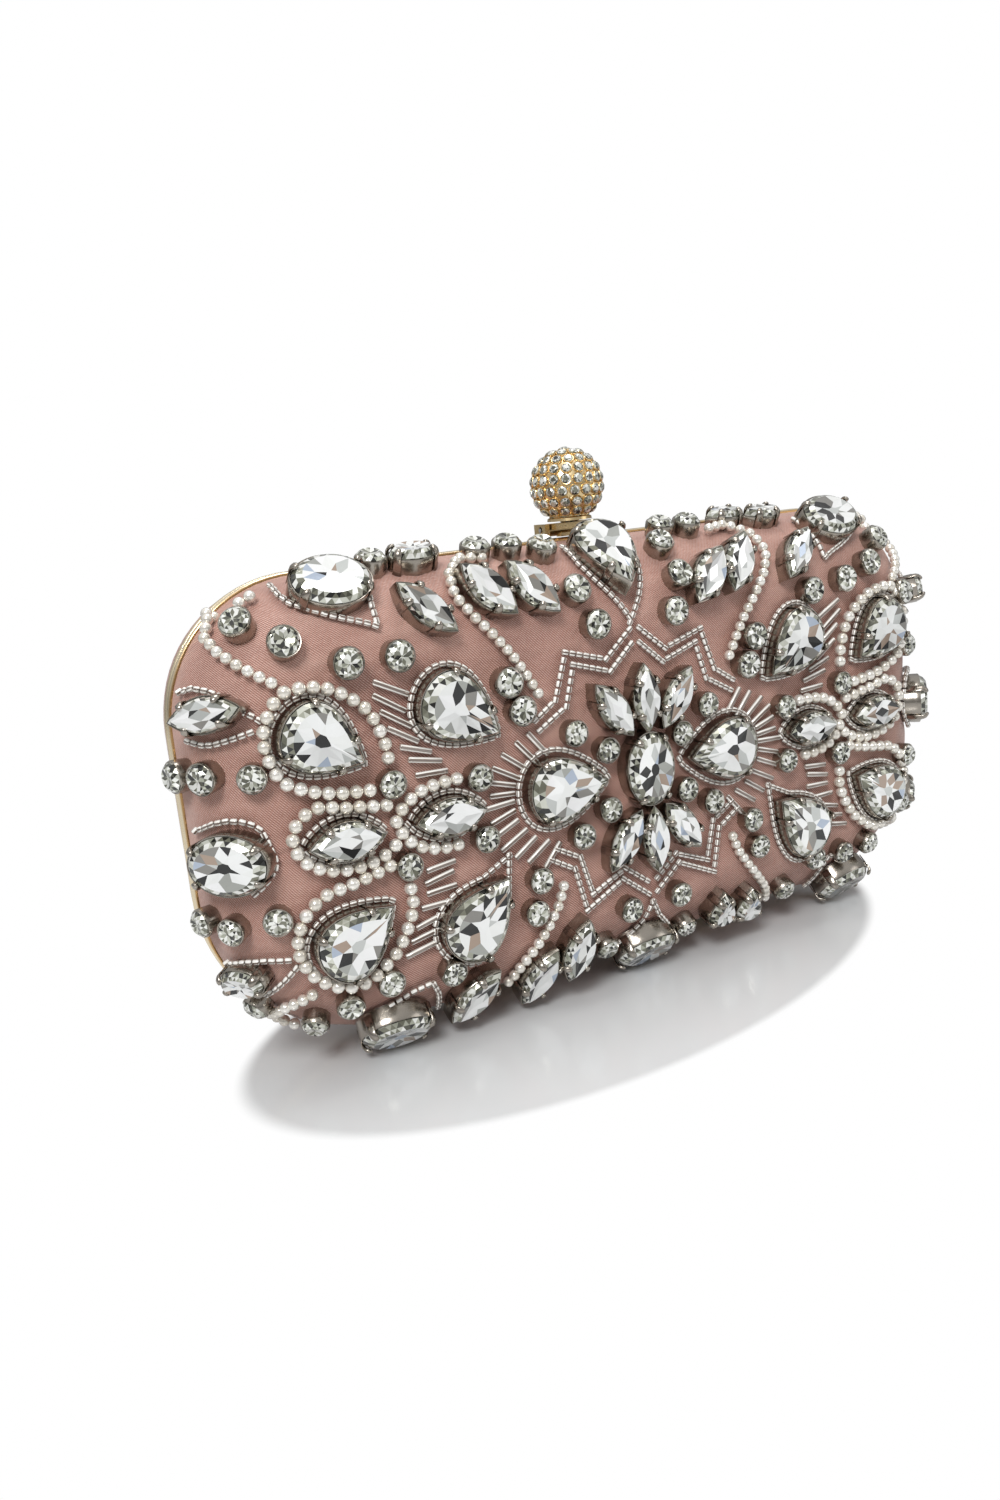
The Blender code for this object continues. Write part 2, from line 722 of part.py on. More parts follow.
def stones(parent):
    """Every large stone on the front."""
    plain = teardrop(TEARDROP_LENGTH, TEARDROP_WIDTH)
    for word, share_x, share_z, turn in TEARDROP_SHARES:
        mirrored("teardrop_" + word, plain, (share_x, share_z), turn, parent, skirt=seeded())
    ringed = teardrop(RINGED_TEARDROP_LENGTH, RINGED_TEARDROP_WIDTH)
    for word, share_x, share_z, turn in RINGED_TEARDROP_SHARES:
        mirrored("teardrop_" + word, ringed, (share_x, share_z), turn, parent, skirt=pearled())
    pointed = marquise(MARQUISE_LENGTH, MARQUISE_WIDTH)
    for word, share_x, share_z, turn in RINGED_MARQUISE_SHARES:
        mirrored("marquise_" + word, pointed, (share_x, share_z), turn, parent, skirt=pearled())
    for word, share_x, share_z, turn in SEEDED_MARQUISE_SHARES:
        mirrored("marquise_" + word, pointed, (share_x, share_z), turn, parent, skirt=seeded())
    small = marquise(SMALL_MARQUISE_LENGTH, SMALL_MARQUISE_WIDTH)
    for word, share_x, share_z, turn in EDGE_MARQUISE_SHARES:
        mirrored("marquise_" + word, small, (share_x, share_z), turn, parent)
    stone("centre_oval", oval(CENTRE_OVAL_LENGTH, CENTRE_OVAL_WIDTH), (0, 0), 90, parent)
    for word, petals in (("upper", UPPER_PETAL_SHARES), ("lower", LOWER_PETAL_SHARES)):
        for suffix, spot in zip(("left", "middle", "right"), petals):
            stone("petal_" + word + "_" + suffix, small, spot[:2], spot[2], parent)
    edge = oval(EDGE_OVAL_LENGTH, EDGE_OVAL_WIDTH)
    mirrored("oval_top", edge, TOP_OVAL_SHARE, 0, parent)
    mirrored("oval_side", edge, SIDE_OVAL_SHARE, 0, parent)
    stone("teardrop_top_centre", plain, TOP_TEARDROP_SHARE, 270, parent)
    foot = oval(FOOT_STONE_LENGTH, FOOT_STONE_WIDTH)
    side_cup = foot_cup_height(SIDE_FOOT_SHARE)
    mirrored("foot_stone", foot, SIDE_FOOT_SHARE, 0, parent, cup=side_cup, floor=0)
    centre_cup = foot_cup_height(CENTRE_FOOT_SHARE)
    stone("foot_stone_centre", foot, CENTRE_FOOT_SHARE, 0, parent, cup=centre_cup, floor=0)


def build():
    """Clear the scene and make the clutch."""
    for old in list(bpy.data.objects):
        bpy.data.objects.remove(old)
    case = empty("case", (0, 0, 0))
    front = empty("case_hinge_axis", (0, 0, HINGE_AXIS_Z))
    carried(front, case)
    case_half("back", BACK, case)
    case_half("front", FRONT, front)
    for suffix, side in (("left", -1), ("right", 1)):
        hinge(suffix, side * HINGE_PLACE_SHARE * HALF_WIDTH, case, front)
    clasp(case, front)
    stones(front)
    beadwork(front)
    case.location.y = PARTING_SETBACK


build()
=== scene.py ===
"""Looks for a hard satin evening clutch set all over with crystals, pearls and beads."""

import math

import bpy
import numpy as np
from mathutils import Matrix, Vector, noise


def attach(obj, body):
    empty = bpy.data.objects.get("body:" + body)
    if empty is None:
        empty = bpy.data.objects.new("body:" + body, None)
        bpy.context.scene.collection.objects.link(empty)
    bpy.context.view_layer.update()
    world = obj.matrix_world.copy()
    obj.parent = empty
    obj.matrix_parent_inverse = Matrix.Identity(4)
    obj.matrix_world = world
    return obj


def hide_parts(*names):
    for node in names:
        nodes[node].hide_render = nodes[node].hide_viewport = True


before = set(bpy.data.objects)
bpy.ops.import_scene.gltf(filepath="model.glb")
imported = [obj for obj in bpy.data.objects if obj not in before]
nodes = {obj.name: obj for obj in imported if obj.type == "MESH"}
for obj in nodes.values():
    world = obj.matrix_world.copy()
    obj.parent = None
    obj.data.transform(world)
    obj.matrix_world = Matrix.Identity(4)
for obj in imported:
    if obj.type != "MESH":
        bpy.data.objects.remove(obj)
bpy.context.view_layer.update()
scene = bpy.context.scene

# View
# The clutch stands on a pale sweep, seen from its left end and a little above.
HEADING = 0.5113
DOWN = 0.2148
ROLL = -0.0984
EYE = Vector((-0.1493, -0.2215, 0.1102))
LENS = 28.31

sight = Vector((math.sin(HEADING) * math.cos(DOWN), math.cos(HEADING) * math.cos(DOWN), -math.sin(DOWN)))
level = Vector((math.cos(HEADING), -math.sin(HEADING), 0))
rise = level.cross(sight)
right = math.cos(ROLL) * level + math.sin(ROLL) * rise
upward = math.cos(ROLL) * rise - math.sin(ROLL) * level
camera = bpy.data.objects.new("camera", bpy.data.cameras.new("camera"))
camera.data.lens = LENS
camera.data.clip_start = 0.01
camera.matrix_world = Matrix.Translation(EYE) @ Matrix((right, upward, -sight)).transposed().to_4x4()
scene.collection.objects.link(camera)
scene.camera = camera
scene.view_settings.view_transform = "Standard"


# Node helpers
# Sockets that can be added and multiplied like numbers, and one way to add any node.
class Wire:
    """An output socket that takes part in sums."""

    def __init__(self, net, socket):
        self.net = net
        self.socket = socket

    def maths(self, operation, other=None):
        return self.net.add("ShaderNodeMath", {"operation": operation}, {0: self, 1: other})

    def __add__(self, other):
        return self.maths("ADD", other)

    def __sub__(self, other):
        return self.maths("SUBTRACT", other)

    def __mul__(self, other):
        return self.maths("MULTIPLY", other)


class Net:
    """A node tree that is being filled."""

    def __init__(self, tree):
        self.tree = tree

    def add(self, kind, settings=None, inputs=None, out=0):
        node = self.tree.nodes.new(kind)
        for name, value in (settings or {}).items():
            setattr(node, name, value)
        for key, value in (inputs or {}).items():
            if isinstance(value, Wire):
                self.tree.links.new(value.socket, node.inputs[key])
            elif value is not None:
                node.inputs[key].default_value = value
        return Wire(self, node.outputs[out])

    def spot(self):
        """Where a point is on its own piece."""
        return self.add("ShaderNodeTexCoord", out=3)

    def given(self, label):
        """A value that the mesh carries."""
        return self.add("ShaderNodeAttribute", {"attribute_name": label}, out=2)

    def part(self, vector, axis):
        """One of a vector's three numbers."""
        return self.add("ShaderNodeSeparateXYZ", {}, {0: vector}, axis)

    def mix(self, factor, first, second):
        return self.add("ShaderNodeMix", {"data_type": "RGBA"}, {0: factor, 6: first, 7: second}, 2)

    def noise(self, vector, scale, detail=2.0):
        return self.add("ShaderNodeTexNoise", {}, {"Vector": vector, "Scale": scale, "Detail": detail})

    def ramp(self, factor, stops, interpolation="LINEAR"):
        made = self.add("ShaderNodeValToRGB", {}, {0: factor})
        ramp = made.socket.node.color_ramp
        ramp.interpolation = interpolation
        while len(ramp.elements) < len(stops):
            ramp.elements.new(0.5)
        for element, (position, colour) in zip(ramp.elements, stops):
            element.position = position
            element.color = colour
        return made

    def bump(self, height, strength, distance):
        inputs = {"Height": height, "Strength": strength, "Distance": distance}
        return self.add("ShaderNodeBump", {}, inputs)


def new_material(name, varied, constants=None):
    """A material. varied is given its net and returns what drives the shader's sockets."""
    made = bpy.data.materials.new(name)
    made.use_nodes = True
    shader = made.node_tree.nodes["Principled BSDF"]
    for key, value in (constants or {}).items():
        shader.inputs[key].default_value = value
    for key, wire in varied(Net(made.node_tree)).items():
        made.node_tree.links.new(wire.socket, shader.inputs[key])
    return made


# Studio
# A white sweep with a pale, polished patch under the clutch, a large soft light from the upper left and
# front, a weaker one from the right, and one from above.
PATCH_CENTRE = (-0.0085, -0.0037)
PATCH_HALF = (0.0865, 0.0475)
PATCH_TURN = math.radians(9.5)
FLOOR = -0.0002
FLOOR_HALF = 4
OPEN_CASE_REACH = 0.04


def sweep_finish(net):
    grain = net.noise(net.spot(), 3.0)
    return {"Base Color": net.mix(grain, (0.6, 0.61, 0.615, 1), (0.68, 0.685, 0.69, 1))}


def whiten_far_floor(material):
    """Beyond the patch the floor is seen as plain white. It is left out where the open case reaches below
    it, and seen from below."""
    net = Net(material.node_tree)
    inputs = {"Vector": net.spot(), "Location": (*PATCH_CENTRE, 0), "Scale": (*PATCH_HALF, 1)}
    inputs["Rotation"] = (0, 0, PATCH_TURN)
    on_patch = net.add("ShaderNodeMapping", {"vector_type": "TEXTURE"}, inputs)
    far = net.add("ShaderNodeVectorMath", {"operation": "LENGTH"}, {0: on_patch}, 1)
    settings = {"interpolation_type": "SMOOTHSTEP"}
    outside = net.add("ShaderNodeMapRange", settings, {0: far, 1: 0.98, 2: 1.04})
    seen = net.add("ShaderNodeLightPath", out=0)
    shader = material.node_tree.nodes["Principled BSDF"]
    white = net.add("ShaderNodeEmission", {}, {"Color": (1, 1, 1, 1), "Strength": 1.0})
    patch = Wire(net, shader.outputs[0])
    both = net.add("ShaderNodeMixShader", {}, {0: outside * seen, 1: patch, 2: white})
    settings = {"inside": True, "samples": 16}
    beneath = net.add("ShaderNodeAmbientOcclusion", settings, {"Distance": OPEN_CASE_REACH}, 1)
    covered = beneath.maths("LESS_THAN", 0.12) + net.add("ShaderNodeNewGeometry", out=6)
    clear = net.add("ShaderNodeBsdfTransparent")
    whole = net.add("ShaderNodeMixShader", {}, {0: covered, 1: both, 2: clear})
    net.tree.links.new(whole.socket, net.tree.nodes["Material Output"].inputs[0])


sweep_mesh = bpy.data.meshes.new("sweep")
corners = [(x * FLOOR_HALF, y * FLOOR_HALF, FLOOR) for x, y in ((-1, -1), (1, -1), (1, 1), (-1, 1))]
sweep_mesh.from_pydata(corners, [], [(0, 1, 2, 3)])
sweep = bpy.data.objects.new("sweep", sweep_mesh)
scene.collection.objects.link(sweep)
sweep_mesh.materials.append(new_material("sweep", sweep_finish, {"Roughness": 0.18}))
whiten_far_floor(sweep_mesh.materials[0])
sweep.visible_shadow = False

world = bpy.data.worlds.new("studio")
world.use_nodes = True
scene.world = world
air = Net(world.node_tree)
height = air.part(air.add("ShaderNodeTexCoord", out=0), 2)
walls = air.ramp(
    height, [(0.0, (0.2, 0.2, 0.2, 1)), (0.3, (0.42, 0.42, 0.42, 1)), (1.0, (0.8, 0.8, 0.8, 1))]
)
seen = air.add("ShaderNodeLightPath", out=0)
backdrop = world.node_tree.nodes["Background"]
world.node_tree.links.new(air.mix(seen, walls, (1, 1, 1, 1)).socket, backdrop.inputs["Color"])
AIM = Vector((0, 0, 0.05))


def soft_light(name, place, size, power):
    """A square lamp that looks at the clutch."""
    lamp = bpy.data.lights.new(name, "AREA")
    lamp.size = size
    lamp.energy = power
    made = bpy.data.objects.new(name, lamp)
    made.location = place
    made.rotation_euler = (AIM - made.location).to_track_quat("-Z", "Y").to_euler()
    scene.collection.objects.link(made)


soft_light("key_light", (-0.5, -0.55, 0.7), 0.3, 5.6)
soft_light("fill_light", (0.7, -0.6, 0.35), 0.4, 0.6)
soft_light("top_light", (0.1, 0.05, 0.9), 0.4, 2.4)

# Face of the case
# The satin's face is a shallow pillow whose edge rolls down to the frame. Places on it are x and z
# from the middle of the outline.
HALF_WIDTH = 0.095
UPPER_HEIGHT = 0.0495
LOWER_HEIGHT = 0.0455
UPPER_CORNER = 0.0275
LOWER_CORNER = 0.035
HALF_DEPTH = 0.0202
ROLL_WIDTH = 0.0171
FACE_SAG = 0.0018
WALL_START = 0.00265
PARTING_Y = 0.0026
MIDDLE_Z = 0.0487
MM = 0.001


def inset_at(x, z):
    """How far a place lies inside the outline."""
    corner = np.where(z >= 0, UPPER_CORNER, LOWER_CORNER)
    across = np.abs(x) - (HALF_WIDTH - corner)
    up = np.abs(z) - (np.where(z >= 0, UPPER_HEIGHT, LOWER_HEIGHT) - corner)
    outside = np.hypot(np.maximum(across, 0), np.maximum(up, 0))
    return corner - outside - np.minimum(np.maximum(across, up), 0)


def depth_at(inset, x, layer=0.0):
    """Depth of the wall from the parting plane, a layer's distance under the satin."""
    share = np.clip((inset - layer) / (ROLL_WIDTH - layer), 0, 1)
    swell = HALF_DEPTH - layer - WALL_START - FACE_SAG * (x / HALF_WIDTH) ** 2
    return WALL_START + swell * np.sqrt(np.maximum(1 - (1 - share) ** 2, 0))


def front_at(x, z):
    """Points of the front's satin."""
    x, z = np.asarray(x, float), np.asarray(z, float)
    return np.stack([x, PARTING_Y - depth_at(inset_at(x, z), x), MIDDLE_Z + z], -1)


def facing_at(x, z):
    """The way the front's satin faces."""
    x, z = np.asarray(x, float), np.asarray(z, float)
    step = 0.00001
    along = front_at(x + step, z) - front_at(x - step, z)
    up = front_at(x, z + step) - front_at(x, z - step)
    out = np.cross(along, up)
    return out / np.linalg.norm(out, axis=-1, keepdims=True)


def case_grid(columns, rows):
    """A grid over the flat part of the face, and its edge with the way out at each edge point."""
    half = HALF_WIDTH - ROLL_WIDTH
    upper_round, lower_round = UPPER_CORNER - ROLL_WIDTH, LOWER_CORNER - ROLL_WIDTH
    upper_level, lower_level = UPPER_HEIGHT - UPPER_CORNER, LOWER_HEIGHT - LOWER_CORNER
    bends = columns // 8
    bend = half - lower_round + lower_round * np.sin(np.linspace(0, math.pi / 2, bends + 1)[1:])
    middle = np.linspace(lower_round - half, half - lower_round, columns - 2 * bends)
    x = np.concatenate([-bend[::-1], middle, bend])
    over = np.clip(np.abs(x) - (half - upper_round), 0, upper_round)
    top = upper_level + np.sqrt(upper_round**2 - over**2)
    under = np.clip(np.abs(x) - (half - lower_round), 0, lower_round)
    low = -lower_level - np.sqrt(lower_round**2 - under**2)
    share = np.linspace(0, 1, rows)[None]
    z = low[:, None] * (1 - share) + top[:, None] * share
    grid = np.stack([np.repeat(x[:, None], rows, 1), z], -1)
    order = [(i, 0) for i in range(columns)]
    order += [(columns - 1, j) for j in range(1, rows)]
    order += [(i, rows - 1) for i in range(columns - 2, -1, -1)]
    order += [(0, j) for j in range(rows - 2, 0, -1)]
    out = []
    for i, j in order:
        x, z = grid[i, j]
        radius = upper_round if z > 0 else lower_round
        past = max(z - upper_level, 0) + min(z + lower_level, 0)
        way = np.array([x - np.clip(x, radius - half, half - radius), past])
        out.append(way / np.hypot(*way))
    return grid, order, np.array(out)


def turns(count):
    """Evenly spaced angles of a full turn."""
    return [2 * math.pi * k / count for k in range(count)]


def band_faces(low, high, count):
    """Faces between two rings of points that start at low and at high."""
    return [(low + k, low + (k + 1) % count, high + (k + 1) % count, high + k) for k in range(count)]


def stack_faces(rings, count):
    """Faces of a form made of rings of points, with its first and last rings filled."""
    faces = [tuple(range(count))[::-1]]
    for ring in range(rings - 1):
        faces += band_faces(ring * count, (ring + 1) * count, count)
    return faces + [tuple(range((rings - 1) * count, rings * count))]


def make_mesh(name, points, faces, smooth=True, uvs=None):
    """A mesh from arrays, with a uv for each point if given."""
    mesh = bpy.data.meshes.new(name)
    mesh.from_pydata([tuple(p) for p in points], [], [tuple(int(i) for i in f) for f in faces])
    if uvs is not None:
        layer = mesh.uv_layers.new(name="cloth")
        corners = np.array([loop.vertex_index for loop in mesh.loops])
        layer.data.foreach_set("uv", np.asarray(uvs, np.float32)[corners].ravel())
    if smooth:
        mesh.shade_smooth()
    return mesh


def add_piece(name, mesh, material, body, replaced=()):
    """Put a mesh in the scene as a piece that rides on a body."""
    made = bpy.data.objects.new(name, mesh)
    scene.collection.objects.link(made)
    if material is not None:
        mesh.materials.clear()
        mesh.materials.append(material)
    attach(made, body)
    if replaced:
        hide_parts(*replaced)
    return made


def case_sheet(name, layer, side, columns, rows, rolls, hem, inward=False, relief=None):
    """One layer of the wall as a sheet, with its cloth's flat coordinates as uvs."""
    grid, order, out = case_grid(columns, rows)
    flat = grid.reshape(-1, 2)
    edge = np.array([grid[i, j] for i, j in order])
    edge_index = [i * rows + j for i, j in order]
    places, uvs = [flat], [flat]
    depths = [depth_at(np.full(len(flat), ROLL_WIDTH), flat[:, 0], layer)]
    for step in range(1, rolls + 1):
        angle = math.pi / 2 * (1 - step / rolls)
        inset = layer + (ROLL_WIDTH - layer) * (1 - math.cos(angle))
        spot = edge + out * (ROLL_WIDTH - inset)
        places.append(spot)
        uvs.append(edge + out * (ROLL_WIDTH * 1.15 * step / rolls * math.pi / 2))
        depths.append(depth_at(np.full(len(edge), inset), spot[:, 0], layer))
    places.append(places[-1])
    uvs.append(uvs[-1] + out * hem)
    depths.append(depths[-1] - hem)
    place, uv, depth = np.concatenate(places), np.concatenate(uvs), np.concatenate(depths)
    points = np.stack([place[:, 0], PARTING_Y + side * depth, MIDDLE_Z + place[:, 1]], -1)
    if relief is not None:
        faced = facing_at(place[:, 0], place[:, 1])
        faced[:, 1] *= -side
        lift = relief(place[:, 0], place[:, 1])
        lift[-2 * len(edge):] = 0
        points += faced * lift[:, None]
    cells = [i * rows + j for i in range(columns - 1) for j in range(rows - 1)]
    faces = [(here, here + rows, here + rows + 1, here + 1) for here in cells]
    start, around = len(flat), len(edge)
    for k in range(around):
        after = (k + 1) % around
        faces.append((edge_index[k], start + k, start + after, edge_index[after]))
    for step in range(rolls):
        faces += band_faces(start + (step + 1) * around, start + step * around, around)
    if (side > 0) != inward:
        faces = [face[::-1] for face in faces]
    return make_mesh(name, points, faces, uvs=uv)


# Places of the trimmings
# Where every stone, pearl and bead is sewn, in millimetres from the middle of the outline. A turn is in
# degrees from +X towards +Z. Most places are used on the left as well, mirrored.
LOOSE_STONES = {
    "loose_marquise": [
        (-33.8, 41.7, 127), (-23.9, 41.1, 126), (20.7, 38.7, 51), (30, 40.3, 63), (-45.8, -38.9, 49),
        (-30, -39.3, 65), (-21.1, -35.6, 74),
    ],
    "short_marquise": [(38.2, 48.9, 0), (48.2, 48.4, 2)],
    "short_oval": [(-44.6, 48.4, 5), (-89.6, -24.6, 20), (89.1, -25.4, 0)],
    "short_teardrop": [(19.6, -37, 90), (28.4, -38, 90)],
}
ROUNDS = [
    (17.7, 11), (10, 5.9), (10.5, -7.1), (17.8, -11.4), (10.3, 32.8), (6.9, -30.6), (32.6, 24.2), (30.1, 18),
    (29.2, -18.4), (30.9, -25.2), (13.5, 39.5), (59.9, 8.8), (58.4, -8.2), (41.1, 6.3), (40.9, -6.6),
]
LOOSE_ROUNDS = [
    (-82.3, 41.4), (-76.4, 37.8), (-66, 33.2), (-55.6, 33), (-53.4, 48.6), (-30, 48.5), (-22.6, 48.4),
    (-15.6, 47.4), (17.6, 48.4), (24.9, 48.3), (13, 45.6), (51, 32.2), (62, 33.5), (70.8, 36), (76.6, 40.5),
    (82.4, 27.6), (83.9, 14.4), (82.5, -13.6), (81, -25.6), (-94.6, 15.5), (-91.9, 15.5), (-85.4, 14.9),
    (-94.3, -13.2), (-91.2, -14.2), (-84.6, -12.8), (-86.9, -32), (-78.1, -36.5), (-72.7, -33.2),
    (-64.9, -30.5), (-51.2, -32.3), (41.2, -38.2), (49.3, -32.4), (59, -33.2), (68.3, -33), (11.2, -39.6),
    (-12, -38),
]
STARS = [
    [(26.4, 15.2), (21.2, 18.6), (17.9, 28), (7.8, 25.1), (0, 31.5)],
    [(25.6, 12.9), (18.7, 16.8), (16.2, 25.2), (6.9, 22.3), (0, 28.3)],
    [(25.65, -15), (19.95, -18.4), (17.67, -28.4), (7.7, -23.7), (0, -29.8)],
    [(24, -13), (18.3, -16.2), (15.9, -25.1), (7, -21.4), (0, -26.8)],
]
PEARL_RINGS = [
    [(60, 14), (60.2, 16.5), (60.9, 19), (61.8, 21.5), (63.2, 24), (65.4, 26.1), (67.8, 27.8), (70.3, 29.1),
     (73, 29.8), (75.8, 30), (78.4, 29.6), (80.3, 28), (81.8, 25.6), (82.7, 23.2), (83, 20.7), (82.6, 18),
     (81.9, 15.4), (80.6, 13.1), (78.3, 11.6), (75.8, 10.5), (73.1, 9.7), (70.2, 9.1), (67.3, 8.8),
     (64.5, 8.5)],
    [(61.5, 4.9), (64, 5.2), (66.8, 5.7), (69.7, 6.1), (72.6, 6.8), (75.4, 7.3), (78, 6.4), (80, 4.4),
     (80.6, 1.8), (79.9, -1.1), (78, -3.6), (75.4, -4.9), (72.7, -5.7), (69.6, -6), (66, -5.8), (63, -4.8),
     (60.6, -3.4)],
    [(62.2, -7.2), (64.9, -7.9), (67.4, -8.4), (70, -8.9), (72.8, -9.3), (75.7, -9.8), (78, -10.9),
     (79.9, -12.7), (81.1, -14.7), (81.8, -17.2), (81.8, -19.8), (81, -22.4), (79.6, -24.9), (77.6, -26.9),
     (75.3, -28.4), (72.8, -29.2), (70.1, -29.2), (67.4, -28.2), (64.9, -26.5), (62.8, -24.8), (61.4, -22.8),
     (60, -20.5), (58.9, -18.1), (58.3, -15.5), (58.5, -12.8)],
    [(59.9, 1.2), (58.4, 3.4), (56.2, 5.1), (53.8, 6.2), (51.2, 6.7), (48.8, 6.9), (46, 7)],
    [(58.9, -1.3), (57.4, -3.4), (55.2, -5), (52.6, -5.9), (50, -6.3), (47.2, -6.4)],
]
STRANDS = [
    [(30, 47.4), (35.3, 47.8), (39.7, 45.3), (40.6, 41.6), (37.8, 37.5), (34, 33.5), (30.6, 29.3),
     (27.7, 24.75), (25.5, 20.8)],
    [(23.5, -21.2), (24.9, -24.8), (27.6, -28.7), (30.8, -32.3), (34.2, -35.9), (36.5, -39.6)],
    [(84.6, 43.6), (86.2, 41.4), (87.3, 39.4), (86.5, 37.2), (84.8, 35.2), (82.3, 33.1), (80, 31.5)],
    [(78.4, 45.7), (80.4, 44.8)],
    [(84.6, -34.8), (83.8, -32.3), (82.2, -31), (80.4, -29.9), (79.6, -29.3)],
    [(82.6, -37.2), (80.6, -37.9)],
]
SEED_ROWS = [
    [(93, 30.8), (91.5, 31.5), (89.8, 31), (88.2, 30), (87, 28.5), (85.8, 27.2), (84, 26), (83.2, 25.2)],
    [(93.5, 22.2), (92, 21.5), (90.5, 21.5), (88.8, 22), (86.8, 22.6), (84.8, 23.2)],
    [(74.2, 47.5), (74, 45.9), (72.9, 44.4), (70.8, 43.4), (69, 42.6), (67, 41.7), (64.5, 40.8), (61.8, 40),
     (59.5, 39.2), (58.1, 38.5), (58, 42), (57.4, 44.4), (56.7, 47.4)],
    [(94.2, 4.8), (93, 5.8), (92, 6.5), (90.2, 7), (88.2, 6.8), (86.5, 6), (85.3, 4.8), (84.6, 2.5),
     (84.1, 0.5), (83.7, -1.2), (83.9, -2.8), (85, -4.6), (86.4, -6.2), (87.6, -7.3)],
    [(92.2, -22.2), (90, -21.3), (87.2, -21), (83.6, -21.3)],
    [(86.7, -29.2), (84.5, -26.2), (82.3, -23.2)],
    [(67.8, -38.5), (64.2, -36.2), (60, -34.6), (55.4, -33.8), (53.7, -37), (52.4, -41.6)],
    [(0, -30.9), (2.2, -34.6), (5.6, -37.9), (9, -41)],
]
TOP_SEED_ROWS = [
    [(-9.4, 47.8), (-9.2, 44.4), (-7.6, 41.6), (-5.5, 39), (-3.3, 36.3), (-1, 33)],
    [(5.6, 45), (4.8, 42), (3.6, 39.2), (2.2, 36.7), (0.6, 34.4), (-1, 31.9)],
]
LOWER_TEARDROP_TIP = (35.6, -11.6)
BUGLES = [
    (60.9, 28.8, 54, 25.3), (61.3, 26.3, 55, 22.2), (60.2, 23, 54.1, 19), (59.1, 19.5, 53, 15.8),
    (56.9, 15.4, 50.5, 13.3), (55.5, 12.6, 48.5, 11.1), (54.4, 9.2, 47.5, 8.9), (54.4, -10.4, 47.9, -9.7),
    (55, -13, 48.5, -11.7), (54.9, -15.1, 48.2, -14.7), (56.4, -17.8, 49.5, -17.8), (58, -21.5, 51.6, -20),
    (59.4, -24.1, 52.8, -22.9), (60.9, -26.8, 54.1, -25.5), (28.5, 12.9, 24.2, 7.6), (31.5, 11.6, 27, 6.5),
    (35, 9.7, 29.5, 5.5), (37.4, 7.3, 31.4, 3.9), (38.2, 4.4, 32.6, 2.7), (38.6, 1.6, 32.9, 1.1),
    (39.9, -0.9, 33.1, -0.5), (39, -4.2, 33.1, -2.4), (38.6, -7.2, 32.6, -4.6), (37.2, -10.3, 30.7, -7),
    (34.1, -12.6, 28.7, -9.1), (31.2, -14.3, 25.6, -10.6), (27.1, -16.3, 23, -11.6),
]


def both_sides(kind, spots):
    """The stones of a kind on the right, each followed by its mirror image on the left."""
    found = []
    for word, x, z, turn in spots:
        found.append((kind + "_" + word + "_right", x, z, turn))
        found.append((kind + "_" + word + "_left", -x, z, 180 - turn))
    return found


def oval(length, width, count):
    """An oval's outline."""
    return [Vector((length / 2 * math.cos(a), width / 2 * math.sin(a))) for a in turns(count)]


def teardrop(length, width, count):
    """A teardrop's outline, with its point at +x."""
    fullest = 4 / (3 * math.sqrt(3))
    return [
        Vector((length / 2 * math.cos(a), width / 2 * math.sin(a) * math.sin(a / 2) / fullest))
        for a in turns(count)
    ]


def marquise(length, width, count):
    """A pointed oval between two arcs."""
    points = []
    for k in range(count):
        share = 1 - 4 * (k % (count // 2)) / count
        side = 1 if k < count // 2 else -1
        points.append(Vector((side * share * length / 2, side * (1 - share**2) * width / 2)))
    return points


def spread(points, distance):
    """An outline moved outwards."""
    moved = []
    for k, point in enumerate(points):
        run = points[(k + 1) % len(points)] - points[k - 1]
        moved.append(point + distance * Vector((run.y, -run.x)).normalized())
    return moved


def laid_flat(way, up):
    """A direction laid flat on the face that looks up."""
    return (way - way.dot(up) * up).normalized()


SEAT_GAP = 0.0003


def seat_of(x, z, turn, lift=0.0, lean=0.0):
    """Where a stone sits, with its own three directions: along, across and up.

    A stone with a lean faces the front more than the satin under it does."""
    facing = Vector(facing_at(x * MM, z * MM))
    up = (facing + lean * Vector((0, -1, 0))).normalized()
    seat = Vector(front_at(x * MM, z * MM)) + SEAT_GAP * facing + lift * up
    angle = math.radians(turn)
    along = laid_flat(Vector((math.cos(angle), 0, math.sin(angle))), up)
    return seat, along, up.cross(along), up


# Outline, length, width, and how far the heart of the cut lies from the middle.
KINDS = {
    "teardrop": (teardrop, 18.8, 13.6, 1.4),
    "ringed_teardrop": (teardrop, 17.6, 13.2, 1.4),
    "marquise": (marquise, 15.4, 7.6, 0),
    "small_marquise": (marquise, 14.8, 6.6, 0),
    "centre_oval": (oval, 16, 12.2, 0),
    "edge_oval": (oval, 16, 11.8, 0),
    "foot_stone": (oval, 15.5, 12, 0),
    "loose_marquise": (marquise, 14.8, 7.6, 0),
    "short_marquise": (marquise, 11, 5.6, 0),
    "short_oval": (oval, 10.2, 6.2, 0),
    "short_teardrop": (teardrop, 8.8, 7, 0.6),
}
PETALS = [
    ("upper_left", -8.36, 14.355, 125), ("upper_middle", 0, 15.543, 90),
    ("upper_right", 8.36, 14.355, 55), ("lower_left", -7.79, -14.469, 233),
    ("lower_middle", 0, -15.925, 270), ("lower_right", 7.79, -14.469, 307),
]
